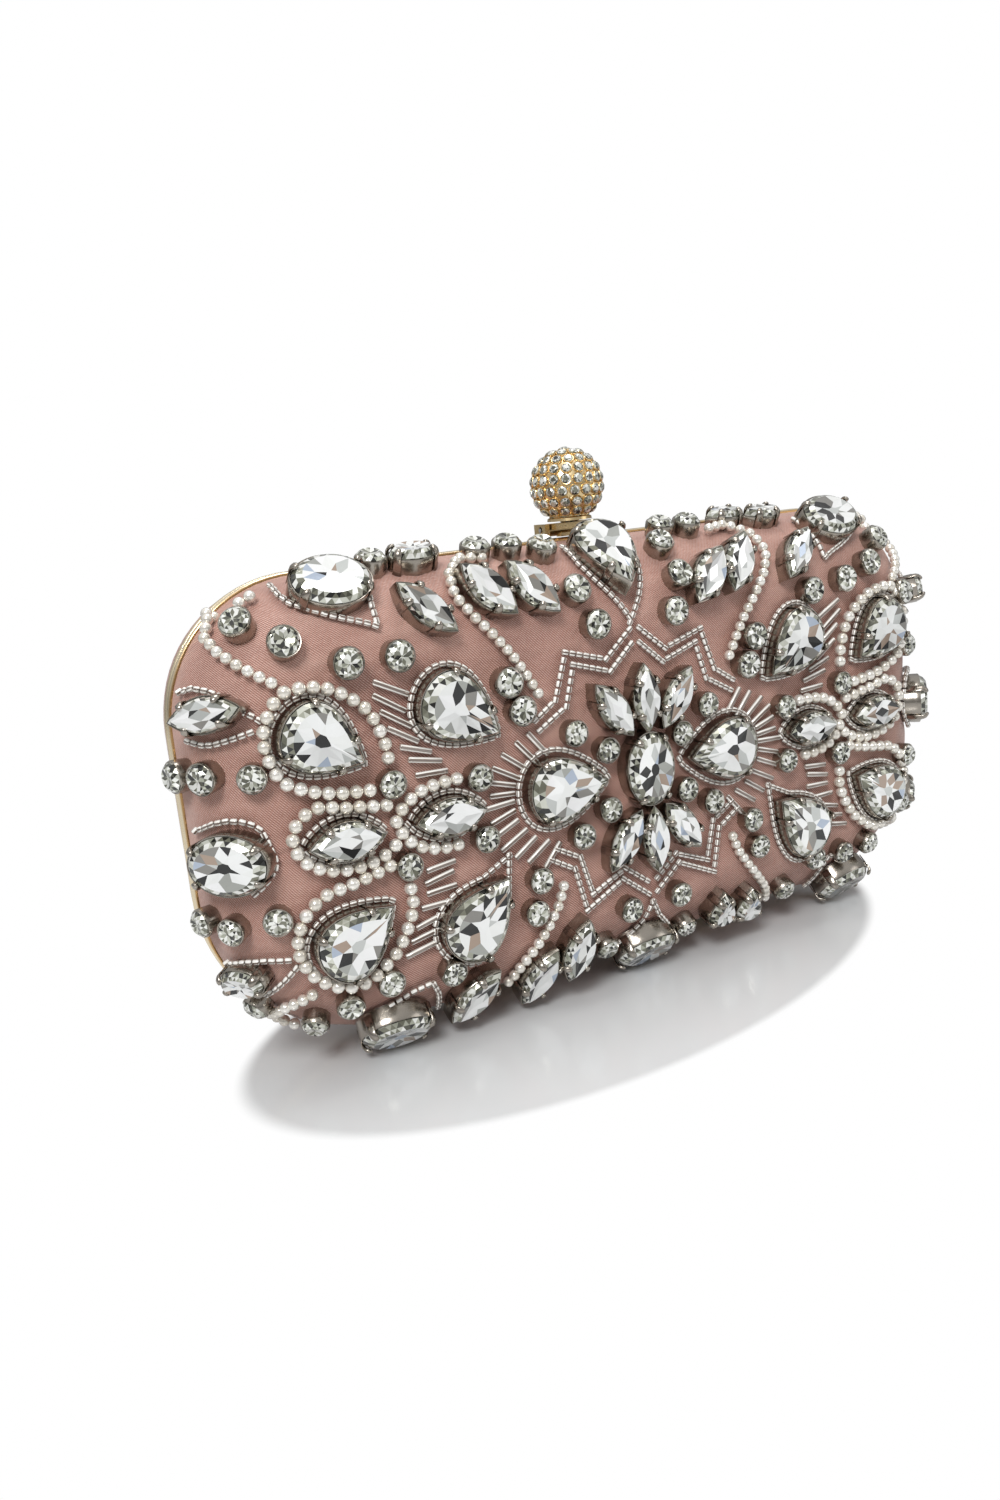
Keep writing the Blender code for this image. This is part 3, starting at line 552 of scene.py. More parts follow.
STONES = {
    "teardrop": both_sides(
        "teardrop",
        [("centre", 20.9, 0, 180), ("upper", 43.89, 20.295, 217), ("lower", 44.08, -22.295, 135)],
    ) + [("teardrop_top_centre", -1.9, 44.55, 270)],
    "ringed_teardrop": both_sides(
        "teardrop", [("outer_upper", 72.675, 19.404, 215), ("outer_lower", 70.775, -19.565, 148)]
    ),
    "marquise": both_sides("marquise", [("outer", 70.68, 0, 0), ("inner", 48.64, 0, 0)]),
    "small_marquise": both_sides(
        "marquise", [("side_upper", 90.06, 26.98, 0), ("top_outer", 48.165, 40.095, 50)]
    ) + [("petal_" + word, x, z, turn) for word, x, z, turn in PETALS],
    "centre_oval": [("centre_oval", 0, 0, 90)],
    "edge_oval": both_sides("oval", [("top", 64.6, 46.035, 0), ("side", 90.06, -0.91, 0)]),
    "foot_stone": [
        ("foot_stone_right", 62.7, -40.81, 0), ("foot_stone_left", -62.7, -40.81, 180),
        ("foot_stone_centre", 0, -40.81, 0),
    ],
}
STONES.update({kind: [(None, *spot) for spot in spots] for kind, spots in LOOSE_STONES.items()})
round_places = [(side * x, z) for x, z in ROUNDS for side in (1, -1)] + LOOSE_ROUNDS

# Satin covers
# Dusty pink satin, drawn over the board and glued under the frame. The stitches of the stones pull
# small creases into it.
pulls = [(x, z, 3.2) for x, z in round_places]
for kind, spots in STONES.items():
    length, width = KINDS[kind][1:3]
    for _, x, z, turn in spots:
        shift = math.radians(turn)
        for share in (-0.25, 0.25):
            reach = share * length
            pulls.append((x + reach * math.cos(shift), z + reach * math.sin(shift), width * 0.55))
pulls = np.array(pulls) * MM
CREASE_REACH = 0.0022
CREASE = 0.00012
PULL = 0.0001
QUILT = 0.0002
HEM_REACH = 0.003
HEM_GATHER = 0.00028
LOWEST = -0.0004
BACK_QUILT = 0.00012


def soft_noise(x, z, scale, layer):
    """Smooth noise over the face."""
    return np.array([noise.noise(Vector((a * scale, b * scale, layer))) for a, b in zip(x, z)])


def puckers(x, z):
    """Soft creases that run out from the stones, and a slight quilting between them."""
    lift = np.zeros(len(x))
    for k, (px, pz, reach) in enumerate(pulls):
        far = np.hypot(x - px, z - pz)
        near = np.exp(-np.clip(far - reach, 0, None) / CREASE_REACH)
        close = near > 0.02
        angle = np.arctan2(z[close] - pz, x[close] - px)
        crease = np.sin(angle * (7 + k % 5) + k * 1.7) + 0.6 * np.sin(angle * (11 + k % 3) + k)
        lift[close] += near[close] * (CREASE * crease - PULL)
    quilt = soft_noise(x, z, 90, 0.0) + 0.5 * soft_noise(x, z, 260, 4.0)
    hem = np.exp(-inset_at(x, z) / HEM_REACH)
    lift += QUILT * quilt + HEM_GATHER * hem * soft_noise(x, z, 420, 9.0)
    return np.maximum(lift, LOWEST)


def slight_quilt(x, z):
    """The faint unevenness of the plain back."""
    return BACK_QUILT * soft_noise(x, z, 70, 2.0)


def satin_finish(net):
    cloth = net.add("ShaderNodeUVMap", {"uv_map": "cloth"})
    along, across = net.part(cloth, 0), net.part(cloth, 1)
    run = 2 * math.pi / TWILL
    wander = net.noise(cloth, 380.0) * 0.0005
    rib = ((along + across + wander) * run).maths("SINE")
    float_gap = ((along - across * 0.6 + wander) * (run * 0.7)).maths("SINE")
    twill = rib * 0.6 + rib * float_gap * 0.4
    cloud = net.noise(cloth, 42.0, 4.0)
    slub_with_painted_sparkle = net.noise(cloth, 1100.0)
    stretched = net.add("ShaderNodeVectorMath", {"operation": "MULTIPLY"}, {0: cloth, 1: (60, 190, 1)})
    fold_with_painted_light = net.noise(stretched, 1.0, 3.0)
    # The large tone mixes a random change in the dye with painted highlight streaks and painted shade along
    # the folds.
    tone = net.ramp(
        cloud * 0.6 + fold_with_painted_light * 0.4,
        [(0.34, (0.3, 0.128, 0.095, 1)), (0.5, (0.42, 0.195, 0.146, 1)), (0.66, (0.57, 0.315, 0.25, 1))],
    )
    # The twill's ribs and the slubs are mixed towards light pink as a painted sheen and sparkle on the
    # threads. The twill's grooves are mixed towards dark brown as painted shade.
    painted_sheen = net.mix(twill * 0.5 + slub_with_painted_sparkle * 0.36, tone, (0.86, 0.64, 0.56, 1))
    colour = net.mix(twill * -0.5 + 0.14, painted_sheen, (0.14, 0.05, 0.035, 1))
    height = twill * 0.5 + slub_with_painted_sparkle * 0.9 + net.noise(cloth, 150.0, 3.0) * 4.0 + fold_with_painted_light * 5.0
    bumped = net.bump(height, 0.45, 0.0003)
    return {"Base Color": colour, "Roughness": cloud * 0.2 + 0.38, "Normal": bumped}


TWILL = 0.0006
sheen = {"Specular IOR Level": 0.45, "Sheen Weight": 0.25, "Sheen Roughness": 0.4}
satin = new_material("satin", satin_finish, sheen)
COVERS = (("front", -1, puckers), ("back", 1, slight_quilt))
SATIN_GRID = (190, 84)
SATIN_HEM = 0.00105
for word, side, relief in COVERS:
    mesh = case_sheet(word + "_satin", 0.0, side, *SATIN_GRID, 16, SATIN_HEM, relief=relief)
    cover = add_piece(word + "_satin", mesh, satin, word + "_half", [word + "_cover"])


# Lining
# Plain pale satin glued into each half.
def lining_finish(net):
    cloth = net.add("ShaderNodeUVMap", {"uv_map": "cloth"})
    weave = net.noise(cloth, 1500.0, 1.0)
    cloud = net.noise(cloth, 30.0, 3.0)
    colour = net.mix(cloud, (0.62, 0.45, 0.38, 1), (0.74, 0.58, 0.5, 1))
    return {"Base Color": colour, "Normal": net.bump(weave + cloud * 4.0, 0.3, 0.0002)}


lining = new_material("lining", lining_finish, {"Roughness": 0.5, "Sheen Weight": 0.3})
LINING_DEPTH = 0.0026
LINING_GRID = (110, 50)
LINING_HEM = 0.0003
for word, side, _ in COVERS:
    mesh = case_sheet(word + "_lining_cloth", LINING_DEPTH, side, *LINING_GRID, 10, LINING_HEM, inward=True)
    cloth = add_piece(word + "_lining_cloth", mesh, lining, word + "_half", [word + "_lining"])


# Boards
# The pressed board shell between the satin and the lining.
def board_finish(net):
    fibre = net.noise(net.spot(), 700.0, 4.0)
    return {
        "Base Color": net.mix(fibre, (0.36, 0.27, 0.19, 1), (0.52, 0.42, 0.31, 1)),
        "Normal": net.bump(fibre, 0.4, 0.0002),
    }


def paint(names, material):
    """Give carried-over CAD nodes a material."""
    for name in names:
        mesh = nodes[name].data
        mesh.materials.clear()
        mesh.materials.append(material)


paint(["front_shell", "back_shell"], new_material("board", board_finish, {"Roughness": 0.8}))


# Frames
# Two gold-plated frames that meet at the parting line. Each has a rounded rim, which stands proud of the
# satin, and a wider land inside it.
def gold_finish(net, dark=(0.68, 0.48, 0.23, 1), light=(0.88, 0.71, 0.42, 1)):
    spot = net.spot()
    wear = net.noise(spot, 140.0, 4.0)
    fine = net.noise(spot, 2600.0, 2.0)
    return {
        "Base Color": net.mix(wear, dark, light),
        "Roughness": wear * 0.22 + 0.14,
        "Normal": net.bump(fine + wear * 2.0, 0.12, 0.0001),
    }


gold = new_material("gold", gold_finish, {"Metallic": 1.0})


def rim_finish(net):
    """Pale gold, with painted shade and a painted reflection of the satin in dark brown on the side of the
    rim that faces the satin.
    """
    made = gold_finish(net, (0.84, 0.68, 0.44, 1), (0.98, 0.87, 0.66, 1))
    # This mask picks the side of the rim that faces the satin, where shade and the satin's reflection are
    # painted dark brown.
    facing = net.part(net.add("ShaderNodeTexCoord", out=1), 1)
    outward = (net.part(net.spot(), 1) - PARTING_Y).maths("SIGN")
    edge = net.add("ShaderNodeMapRange", {}, {0: facing * outward, 1: 0.6, 2: 0.9})
    made["Base Color"] = net.mix(edge, made["Base Color"], (0.5, 0.3, 0.13, 1))
    return made


pale_gold = new_material("pale_gold", rim_finish, {"Metallic": 1.0})
grid, order, frame_out = case_grid(*SATIN_GRID)
frame_line = np.array([grid[i, j] for i, j in order]) + frame_out * ROLL_WIDTH
RIM_RADIUS = 0.6
FRAME_PROFILE = []
for depth, start in ((0.75, 270), (1.0, 180)):
    for step in range(5):
        angle = math.radians(start - 22.5 * step)
        FRAME_PROFILE.append((RIM_RADIUS * math.cos(angle) - 0.1, RIM_RADIUS * math.sin(angle) + depth))
FRAME_PROFILE += [(0.1, 1.6), (0.4, 1.7), (0.4, 2.35), (2.2, 2.35), (3.0, 2.2), (3.0, 0.3), (2.8, 0.15)]
count = len(frame_line)
for word, side, _ in COVERS:
    rings, faces = [], []
    for ring, (inward, depth) in enumerate(FRAME_PROFILE):
        spot = frame_line - frame_out * inward * MM
        y = np.full(count, PARTING_Y + side * depth * MM)
        rings.append(np.stack([spot[:, 0], y, MIDDLE_Z + spot[:, 1]], -1))
        faces += band_faces(ring * count, (ring + 1) % len(FRAME_PROFILE) * count, count)
    if side < 0:
        faces = [face[::-1] for face in faces]
    mesh = make_mesh(word + "_frame_band", np.concatenate(rings), faces)
    add_piece(word + "_frame_band", mesh, pale_gold, word + "_half", [word + "_frame"])


# Hinges
# Cast leaves, with two knuckles on each back one and one on each front one, and steel pins through them.
def steel_finish(net):
    return {"Roughness": net.noise(net.spot(), 900.0, 3.0) * 0.3 + 0.15}


steel = new_material("steel", steel_finish, {"Metallic": 1.0, "Base Color": (0.62, 0.61, 0.6, 1)})
paint([n for n in nodes if n.startswith("hinge_leaf")], gold)
paint([n for n in nodes if n.startswith("hinge_pin")], steel)

# Clasp
# A sprung lever between two ears on the back frame. It lies over the catch plate on the front frame.
paint(["clasp_base", "clasp_lever", "catch_plate"], gold)
paint(["clasp_pivot_pin", "clasp_spring"], steel)


# Pieces at points
# One node tree sets a shape at each point, turned and sized as the point says, and gives each copy its
# own glint.
def placing_tree():
    tree = bpy.data.node_groups.new("pieces at points", "GeometryNodeTree")
    sockets = {}
    for label, kind in (("Points", "Geometry"), ("Shape", "Object"), ("Finish", "Material")):
        sockets[label] = tree.interface.new_socket(label, in_out="INPUT", socket_type="NodeSocket" + kind)
    tree.interface.new_socket("Pieces", in_out="OUTPUT", socket_type="NodeSocketGeometry")
    net = Net(tree)
    given = [Wire(net, socket) for socket in tree.nodes.new("NodeGroupInput").outputs]
    shape = net.add("GeometryNodeObjectInfo", {}, {"Object": given[1]}, 4)
    kept = {"data_type": "FLOAT_VECTOR"}
    turn = net.add("GeometryNodeInputNamedAttribute", kept, {"Name": "turn"})
    size = net.add("GeometryNodeInputNamedAttribute", kept, {"Name": "size"})
    rotation = net.add("FunctionNodeEulerToRotation", {}, {0: turn})
    inputs = {"Points": given[0], "Instance": shape, "Rotation": rotation, "Scale": size}
    copies = net.add("GeometryNodeInstanceOnPoints", {}, inputs)
    inputs = {"Min": 0.0, "Max": 1.0, "Seed": 7}
    glint = net.add("FunctionNodeRandomValue", {"data_type": "FLOAT"}, inputs, 1)
    inputs = {"Geometry": copies, "Name": "glint", "Value": glint}
    marked = net.add(
        "GeometryNodeStoreNamedAttribute", {"data_type": "FLOAT", "domain": "INSTANCE"}, inputs
    )
    real = net.add("GeometryNodeRealizeInstances", {}, {"Geometry": marked})
    done = net.add("GeometryNodeSetMaterial", {}, {"Geometry": real, "Material": given[2]})
    tree.links.new(done.socket, tree.nodes.new("NodeGroupOutput").inputs[0])
    return tree, {label: socket.identifier for label, socket in sockets.items()}


placing, placing_inputs = placing_tree()


def set_pieces(name, shape, spots, material, replaced=(), body="front_half"):
    """Copies of a shape at spots, each a place with its along, up and size, made into one plain mesh."""
    mesh = bpy.data.meshes.new(name + "_points")
    mesh.from_pydata([tuple(place) for place, _, _, _ in spots], [], [])
    angles, sizes = [], []
    for _, along, up, size in spots:
        angles.extend(Matrix((along, up.cross(along), up)).transposed().to_euler())
        sizes.extend(np.broadcast_to(size, 3))
    for label, values in (("turn", angles), ("size", sizes)):
        mesh.attributes.new(label, "FLOAT_VECTOR", "POINT").data.foreach_set("vector", values)
    holder = bpy.data.objects.new(name + "_points", mesh)
    model = bpy.data.objects.new(name + "_shape", shape)
    scene.collection.objects.link(holder)
    scene.collection.objects.link(model)
    modifier = holder.modifiers.new("pieces", "NODES")
    modifier.node_group = placing
    modifier[placing_inputs["Shape"]] = model
    modifier[placing_inputs["Finish"]] = material
    bpy.context.view_layer.update()
    done = bpy.data.meshes.new_from_object(holder.evaluated_get(bpy.context.evaluated_depsgraph_get()))
    bpy.data.objects.remove(holder)
    bpy.data.objects.remove(model)
    done.name = name
    return add_piece(name, done, None, body, replaced)


# Crystals
# Foiled glass in thin silver cups. Each has a wide flat table, through which the large facets of its back
# are seen, and a narrow crown of fine facets round it. Each facet's colour is a painted reflection of
# another part of the room, picked by its own tone.
def crystal_mesh(
    name, shape, crown, table, kites, heart=0.12, centre_x=0.0, seed=1, below=1.2, clear=1.0
):
    """A cut crystal whose girdle is at its own zero height. The back's facets are kites round its heart."""
    count = len(shape)
    middle = Vector((-centre_x, 0))
    half_way = [(shape[k] + shape[(k + 1) % count]) / 2 for k in range(count)]

    def ring(points, scale, high):
        return [(*(middle + scale * (p - middle)), high * MM) for p in points]

    rings = [ring(shape, 0.8, -below), ring(shape, 1.0, 0.0), ring(shape, 1.0, 0.22)]
    rings.append(ring(half_way, 0.5 + 0.5 * table + 0.03, 0.22 + 0.6 * (crown - 0.22)))
    rings.append(ring(shape, table, crown))
    points = [p for r in rings for p in r]
    faces = [tuple(range(count))[::-1]]
    faces += band_faces(0, count, count) + band_faces(count, 2 * count, count)
    foot, ridge, edge = 2 * count, 3 * count, 4 * count
    for k in range(count):
        after = (k + 1) % count
        faces += [(foot + k, foot + after, ridge + k), (ridge + k, foot + after, ridge + after)]
        faces += [(ridge + k, ridge + after, edge + after), (edge + k, ridge + k, edge + after)]
    crown_faces = len(faces)
    if kites:
        step = count // kites
        start = len(points)
        points += ring([shape[k * step + step // 2] for k in range(kites)], table * 0.6, crown - 0.16)
        points += ring([shape[k * step] for k in range(kites)], table * heart, crown - 0.34)
        for k in range(kites):
            rim = [edge + (k * step + more) % count for more in range(step + 1)]
            mid, last_mid = start + k, start + (k - 1) % kites
            core, next_core = start + kites + k, start + kites + (k + 1) % kites
            faces += [(core, last_mid, rim[0], mid), (core, mid, next_core)]
            faces += [(mid, *rim[:step // 2 + 1]), (mid, *rim[step // 2:])]
        faces.append(tuple(range(start + kites, start + 2 * kites)))
    else:
        faces.append(tuple(range(edge, edge + count)))
    mesh = make_mesh(name, points, faces, smooth=False)
    # Each face's random tone picks its painted reflection.
    rng = np.random.default_rng(seed)
    tones = rng.random(len(mesh.polygons))
    zones = np.zeros(len(mesh.polygons))
    if kites:
        zones[crown_faces:] = clear
    for label, values in (("tone", tones), ("zone", zones)):
        mesh.attributes.new(label, "FLOAT", "FACE").data.foreach_set("value", values)
    return mesh


def crystal_finish(net):
    # Each facet's colour is a painted reflection: white, greys and black for the room, a brownish tint for
    # the satin and a bluish one for the glass's fire.
    place = (net.given("tone") + net.given("glint")).maths("FRACT")
    crown = net.ramp(
        place,
        [(0.0, (0.64, 0.65, 0.57, 1)), (0.16, (0.2, 0.2, 0.15, 1)), (0.33, (0.94, 0.95, 0.9, 1)),
         (0.52, (0.1, 0.1, 0.075, 1)), (0.65, (0.42, 0.43, 0.35, 1)), (0.78, (0.02, 0.02, 0.017, 1)),
         (0.91, (0.96, 0.96, 0.92, 1))],
        "CONSTANT",
    )
    table = net.ramp(
        place,
        [(0.0, (0.96, 0.97, 0.96, 1)), (0.3, (0.6, 0.62, 0.6, 1)), (0.4, (0.93, 0.94, 0.92, 1)),
         (0.54, (0.27, 0.26, 0.24, 1)), (0.63, (0.012, 0.012, 0.012, 1)), (0.76, (0.42, 0.32, 0.25, 1)),
         (0.81, (0.97, 0.97, 0.97, 1)), (0.9, (0.46, 0.53, 0.64, 1)), (0.94, (0.4, 0.41, 0.38, 1))],
        "CONSTANT",
    )
    return {"Base Color": net.mix(net.given("zone"), crown, table)}


foil = {"Metallic": 0.45, "Roughness": 0.07, "Coat Weight": 1.0, "Coat Roughness": 0.02}
crystal = new_material("crystal", crystal_finish, foil)


def silver_finish(net):
    spot = net.spot()
    tone = net.mix(net.noise(spot, 160.0, 2.0), (0.27, 0.24, 0.2, 1), (0.5, 0.46, 0.41, 1))
    return {"Base Color": tone, "Roughness": net.noise(spot, 1200.0) * 0.2 + 0.12}


silver = new_material("silver_cups", silver_finish, {"Metallic": 1.0})


def cup_mesh(name, shape, high, flare=0.3, wall=0.35, sunk=0.7):
    """A plain metal wall round a stone, open at the top, with a thin rounded rim."""
    steps = [
        (flare - 0.15, -high - sunk), (flare, -high * 0.4), (flare, -0.1), (flare - 0.1, 0.12),
        (flare - wall + 0.08, 0.1), (flare - wall, -0.1), (flare - wall, -0.9),
    ]
    points = []
    for out, up in steps:
        points += [(p.x, p.y, up * MM) for p in spread(shape, out * MM)]
    mesh = make_mesh(name, points, stack_faces(len(steps), len(shape)))
    mesh.set_sharp_from_angle(angle=math.radians(40))
    return mesh


def claw_mesh(name):
    """A tab up the outside of a cup that is bent over the stone's edge to a round tip."""
    path = [
        (0.45, -3.3, 0.95, 0.14), (0.47, -0.6, 0.95, 0.16), (0.5, 0.1, 0.9, 0.24), (0.42, 0.68, 0.84, 0.32),
        (0.1, 1.2, 0.82, 0.42), (-0.34, 1.55, 0.72, 0.44), (-0.74, 1.78, 0.48, 0.34),
        (-0.96, 1.82, 0.1, 0.08),
    ]
    points = []
    for k, (out, up, half, thick) in enumerate(path):
        ahead, behind = path[min(k + 1, len(path) - 1)], path[max(k - 1, 0)]
        way = Vector((ahead[0] - behind[0], ahead[1] - behind[1])).normalized()
        for angle in turns(8):
            raised = thick * math.sin(angle)
            points.append((out + way.y * raised, half * math.cos(angle), up - way.x * raised))
    return make_mesh(name, [Vector(p) * MM for p in points], stack_faces(len(path), 8))


CUP = 3.3
INSIDE_CUP = 0.985 * MM
CUPS = {"short_marquise": 2.0, "short_oval": 2.6}
LEANS = {
    "loose_marquise": 0.6, "short_teardrop": 0.5, "marquise_top_outer_left": 0.35,
    "marquise_top_outer_right": 0.35, "oval_top_left": 0.3, "oval_top_right": 0.3,
}
CLAW_TURNS = {"teardrop": (55, 130), "oval": (35, 145), "marquise": (45, 135)}
# Corners, crown height, share of the table, kites, and share of the heart.
CUTS = {
    "teardrop": (32, 1.8, 0.76, 8, 0.26),
    "oval": (32, 1.8, 0.76, 8, 0.24),
    "marquise": (24, 1.5, 0.8, 4, 0.4),
}
claws = []
for number, (kind, (outline, length, width, centre)) in enumerate(KINDS.items()):
    high = CUPS.get(kind, CUP)
    spots, replaced = [], []
    for name, x, z, turn in STONES[kind]:
        seat, along, across, up = seat_of(x, z, turn, high * MM, LEANS.get(name or kind, 0.0))
        spots.append((seat, along, up, 1.0))
        if name:
            replaced.append(name)
        fine = outline(length * MM, width * MM, 72)
        for angle in sorted({a % 360 for t in CLAW_TURNS[outline.__name__] for a in (t, -t)}):
            k = round(angle / 5) % 72
            point, run = fine[k], fine[(k + 1) % 72] - fine[k - 1]
            out = Vector((run.y, -run.x)).normalized()
            place = seat + point.x * along + point.y * across
            claws.append((place, (out.x * along + out.y * across).normalized(), up, 1.0))
    corners, crown, table, kites, heart = CUTS[outline.__name__]
    shape = outline(length * INSIDE_CUP, width * INSIDE_CUP, corners)
    body = crystal_mesh(kind + "_crystal", shape, crown, table, kites, heart, centre * MM, 3 + 5 * number)
    set_pieces(kind + "_crystals", body, spots, crystal, replaced)
    cup = cup_mesh(kind + "_cup", outline(length * MM, width * MM, 48), high)
    set_pieces(kind + "_cups", cup, spots, silver)
set_pieces("claws", claw_mesh("claw"), claws, silver)

# Small round stones
# Round crystals in plain silver cups. Those on the upper part are a size larger.
ROUND = 5.2 * MM
ROUND_CUP = 2.4
spots = []
for k, (x, z) in enumerate(round_places):
    size = 1.12 if z > 15 else 1.0
    seat, along, _, up = seat_of(x, z, 37 * k, ROUND_CUP * size * MM)
    spots.append((seat, along, up, size))
circle = oval(ROUND, ROUND, 16)
body = crystal_mesh("round_crystal", circle, 1.15, 0.66, 8, seed=12, below=0.8, clear=0.0)
set_pieces("round_crystals", body, spots, crystal)
set_pieces("round_cups", cup_mesh("round_cup", oval(ROUND, ROUND, 24), ROUND_CUP), spots, silver)


# Rows of beads
# Pearls and glass seed beads are threaded in rows that lie on the satin.
def laid_row(places, lift, pitch, closed=False):
    """Evenly spaced spots along a run of places, each with the row's direction and the way it faces."""
    run = np.array([tuple(p) for p in places])
    if closed:
        run = np.concatenate([run, run[:1]])
    shares = np.linspace(0, 1, 12, endpoint=False)[None, :, None]
    fine = (run[:-1, None] + (run[1:, None] - run[:-1, None]) * shares).reshape(-1, 2)
    fine = np.concatenate([fine, run[-1:]])
    points = front_at(fine[:, 0], fine[:, 1]) + lift * facing_at(fine[:, 0], fine[:, 1])
    travelled = np.concatenate([[0], np.cumsum(np.linalg.norm(np.diff(points, axis=0), axis=1))])
    count = max(2, round(travelled[-1] / pitch) + (not closed))
    wanted = np.linspace(0, travelled[-1], count, endpoint=not closed)

    def at(distances):
        kept = np.clip(distances, 0, travelled[-1])
        return np.stack([np.interp(kept, travelled, points[:, axis]) for axis in range(3)], -1)

    spots = []
    for here, way in zip(at(wanted), at(wanted + 0.0004) - at(wanted - 0.0004)):
        up = Vector(facing_at(here[0], here[2] - MIDDLE_Z))
        spots.append((Vector(here), laid_flat(Vector(way), up), up, 1.0))
    return spots


def ring_places(x, z, turn, shape, distance):
    """The places of a ring laid round a stone."""
    seat, along, across, _ = seat_of(x, z, turn)
    places = []
    for point in spread(shape, distance * MM):
        flat = seat + point.x * along + point.y * across
        places.append((flat.x, flat.z - MIDDLE_Z))
    return places


def arc(radius, steps, count, middle=0.0):
    """The first points of a half circle of so many steps, as radius and height, from its top."""
    slopes = [math.pi * k / steps for k in range(count)]
    return [(radius * math.sin(a), middle + radius * math.cos(a)) for a in slopes]


def turned_mesh(name, profile, around, y=0.0):
    """A solid turned round an upright axis, from the top of its profile to its foot."""
    points = [(0, y, profile[0][1])]
    for radius, z in profile[1:-1]:
        points += [(radius * math.cos(a), y + radius * math.sin(a), z) for a in turns(around)]
    points.append((0, y, profile[-1][1]))
    last = len(points) - 1
    faces = []
    for k in range(around):
        after = (k + 1) % around
        faces += [(0, 1 + k, 1 + after), (last, last - around + after, last - around + k)]
    for ring in range(len(profile) - 3):
        faces += band_faces(1 + (ring + 1) * around, 1 + ring * around, around)
    return make_mesh(name, points, faces)


def tube_mesh(name, radius, length, around, soft):
    """A glass tube along its own x, with a hole, and how far each point is turned from the upper side."""
    half, lip, hole = length / 2, radius * soft, radius * 0.35
    steps = [
        (-half, hole), (-half, radius - lip), (lip - half, radius),
        (half - lip, radius), (half, radius - lip), (half, hole),
    ]
    points, faces, sides = [], [], []
    for x, size in steps:
        for angle in turns(around):
            points.append((x, size * math.sin(angle), size * math.cos(angle)))
            # This turn from the upper side places the glass's painted light and shade.
            sides.append(math.sin(angle) if math.cos(angle) > 0 else 1.0)
    for ring in range(len(steps)):
        faces += band_faces((ring + 1) % len(steps) * around, ring * around, around)
    mesh = make_mesh(name, points, faces)
    mesh.attributes.new("side", "FLOAT", "POINT").data.foreach_set("value", sides)
    mesh.set_sharp_from_angle(angle=math.radians(50))
    return mesh


def glass_finish(net, dark=0.26, bright=0.4):
    side = net.given("side").maths("ABSOLUTE")
    # The ramp paints light across the tube: a dark middle on the upper side as a painted look through the
    # glass into the hole, bright bands beside it as painted reflections of the silver lining, and a darker
    # underside as painted shade.
    painted_light_bands = net.ramp(
        side,
        [(0.0, (0.08, 0.045, 0.032, 1)), (dark, (0.16, 0.1, 0.07, 1)), (bright, (0.98, 0.96, 0.9, 1)),
         (0.86, (0.99, 0.98, 0.94, 1)), (1.0, (0.36, 0.3, 0.25, 1))],
    )
    return {"Base Color": net.mix(net.given("glint") * 0.2, painted_light_bands, (0.86, 0.83, 0.77, 1))}


def pearl_finish(net):
    tone = net.mix(net.given("glint"), (0.8, 0.75, 0.66, 1), (0.95, 0.92, 0.86, 1))
    return {"Base Color": tone, "Normal": net.bump(net.noise(net.spot(), 900.0, 2.0), 0.04, 0.0001)}


nacre = {"Metallic": 0.55, "Roughness": 0.2, "Coat Weight": 1.0, "Coat Roughness": 0.03}
glass = {"Roughness": 0.1, "Coat Weight": 1.0}
pearl = new_material("pearl", pearl_finish, nacre)
beads_glass = new_material("bead_glass", glass_finish, glass)
bugle_glass = new_material("bugle_glass", lambda net: glass_finish(net, 0.42, 0.52), glass)

PEARL = 0.00138
PEARL_PITCH = 0.00275
PEARL_LIFT = 0.0017
STRAND_SIZE = 0.86
STRAND_PITCH = 0.0023
STRAND_LIFT = 0.0015
SEED_PITCH = 0.00164
SEED_LIFT = 0.0010
RING_GAPS = {"ringed_teardrop": 1.05, "marquise": 1.05, "teardrop_centre": 1.7, "teardrop_upper": 1.15}
LOWER_RING_GAP = 1.2
pearl_spots, seed_spots, bugle_spots = [], [], []


def in_metres(places, side):
    """Places of a row, mirrored for the other side."""
    return [(side * x * MM, z * MM) for x, z in places]


def seed_row(places, closed=False):
    """The seed beads of one row."""
    return laid_row(places, SEED_LIFT, SEED_PITCH, closed)


for kind, spots in STONES.items():
    outline, length, width, centre = KINDS[kind]
    shape = outline(length * MM, width * MM, 36)
    for name, x, z, turn in spots:
        place = (name or "").rsplit("_", 1)[0]
        gap = RING_GAPS.get(kind, RING_GAPS.get(place))
        if gap:
            seed_spots += seed_row(ring_places(x, z, turn, shape, gap), closed=True)
        elif place == "teardrop_lower":
            tip = in_metres([LOWER_TEARDROP_TIP], 1 if x > 0 else -1)
            seed_spots += seed_row(tip + ring_places(x, z, turn, shape, LOWER_RING_GAP)[5:-4] + tip)
for side in (1, -1):
    for ring in PEARL_RINGS:
        pearl_spots += laid_row(in_metres(ring, side), PEARL_LIFT, PEARL_PITCH)
    for strand in STRANDS:
        laid = laid_row(in_metres(strand, side), STRAND_LIFT, STRAND_PITCH)
        pearl_spots += [(place, along, up, STRAND_SIZE) for place, along, up, _ in laid]
    for row in SEED_ROWS:
        seed_spots += seed_row(in_metres(row, side))
strands = ["pearl_strand_" + a + "_" + b for a in ("upper", "lower") for b in ("left", "right")]
set_pieces("pearls", turned_mesh("pearl", arc(PEARL, 9, 10), 14), pearl_spots, pearl, strands)

for row in TOP_SEED_ROWS:
    seed_spots += seed_row(in_metres(row, 1))
for star in STARS:
    for part in zip(star, star[1:]):
        for side in (1, -1):
            seed_spots += seed_row(in_metres(part, side))[:-1]
seed = tube_mesh("seed_bead", 0.00062, 0.00128, 8, 0.22)
stars = ["star_trim_upper", "star_trim_lower"]
set_pieces("seed_beads", seed, seed_spots, beads_glass, stars)

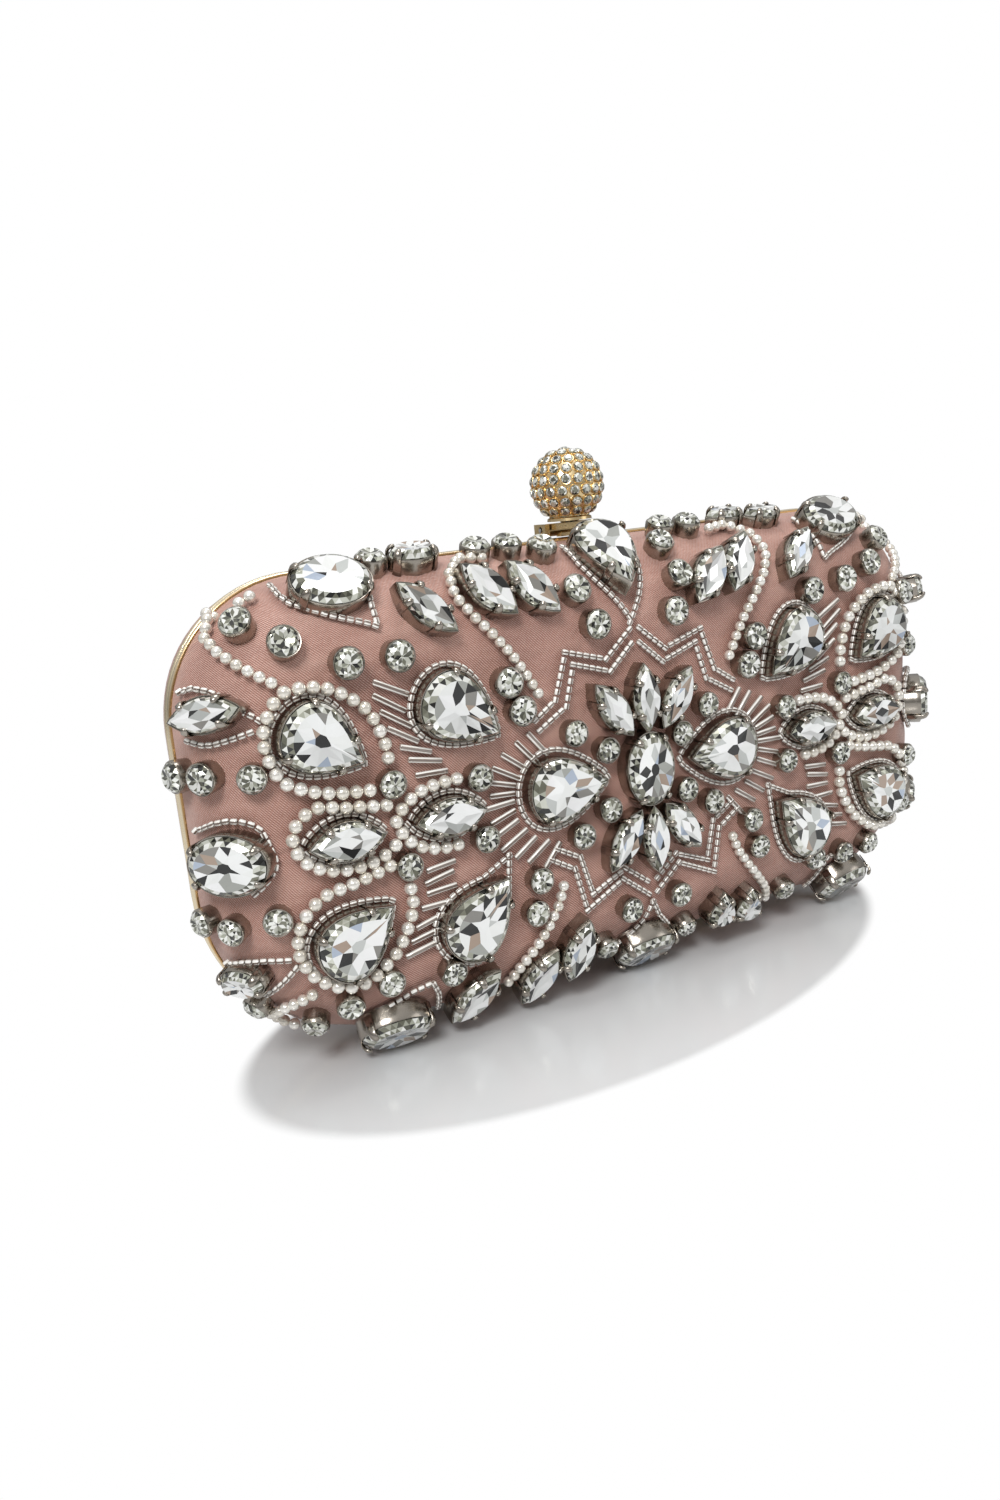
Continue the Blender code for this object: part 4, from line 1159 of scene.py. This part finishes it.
BUGLE = 0.0065
BUGLE_LIFT = 0.0009
for x1, z1, x2, z2 in BUGLES:
    for side in (1, -1):
        ends = laid_row(in_metres(((x2, z2), (x1, z1)), side), BUGLE_LIFT, BUGLE / 2)
        first, last = ends[0][0], ends[-1][0]
        middle = (first + last) / 2
        up = Vector(facing_at(middle.x, middle.z - MIDDLE_Z))
        reach = last - first
        bugle_spots.append((middle, laid_flat(reach, up), up, (reach.length / BUGLE, 1.0, 1.0)))
bugle = tube_mesh("bugle_bead", 0.0006, BUGLE, 16, 0.15)
set_pieces("bugle_beads", bugle, bugle_spots, bugle_glass)

# Ball
# A gold ball set all over with small round crystals in raised rims.
BALL = Vector((0, 0.0026, 0.1101))
BALL_RADIUS = 0.0076
BALL_ROWS = 10
BALL_PITCH = 0.00258
BALL_CUT_LIFT = 0.00025
PLATE_TOP = 0.1025
profile = arc(BALL_RADIUS, 32, 27, BALL.z)
profile += [(0.0043, PLATE_TOP + 0.0009), (0.0049, PLATE_TOP + 0.0006), (0.005, PLATE_TOP), (0.0, PLATE_TOP)]
core = turned_mesh("ball_core", profile, 48, BALL.y)
core.set_sharp_from_angle(angle=math.radians(35))
add_piece("ball_core", core, gold, "clasp", ["clasp_ball"])
ball_spots = []
for row in range(BALL_ROWS):
    low = math.radians(-81 + 164 * row / (BALL_ROWS - 1))
    count = max(1, round(2 * math.pi * math.cos(low) * BALL_RADIUS / BALL_PITCH))
    for k in range(count):
        angle = 2 * math.pi * (k + 0.5 * (row % 2)) / count + 0.3 * row
        up = Vector((math.cos(low) * math.cos(angle), math.cos(low) * math.sin(angle), math.sin(low)))
        along = Vector((-math.sin(angle), math.cos(angle), 0))
        ball_spots.append((BALL + up * (BALL_RADIUS + BALL_CUT_LIFT), along, up, 1.0))
circle = oval(2.06 * MM, 2.06 * MM, 8)
body = crystal_mesh("ball_crystal", circle, 0.5, 0.5, 0, seed=9, below=0.3)
rim = cup_mesh("ball_rim", oval(2.1 * MM, 2.1 * MM, 12), 0.34, flare=0.24, wall=0.3, sunk=0.1)
set_pieces("ball_crystals", body, ball_spots, crystal, body="clasp")
set_pieces("ball_rims", rim, ball_spots, gold, body="clasp")
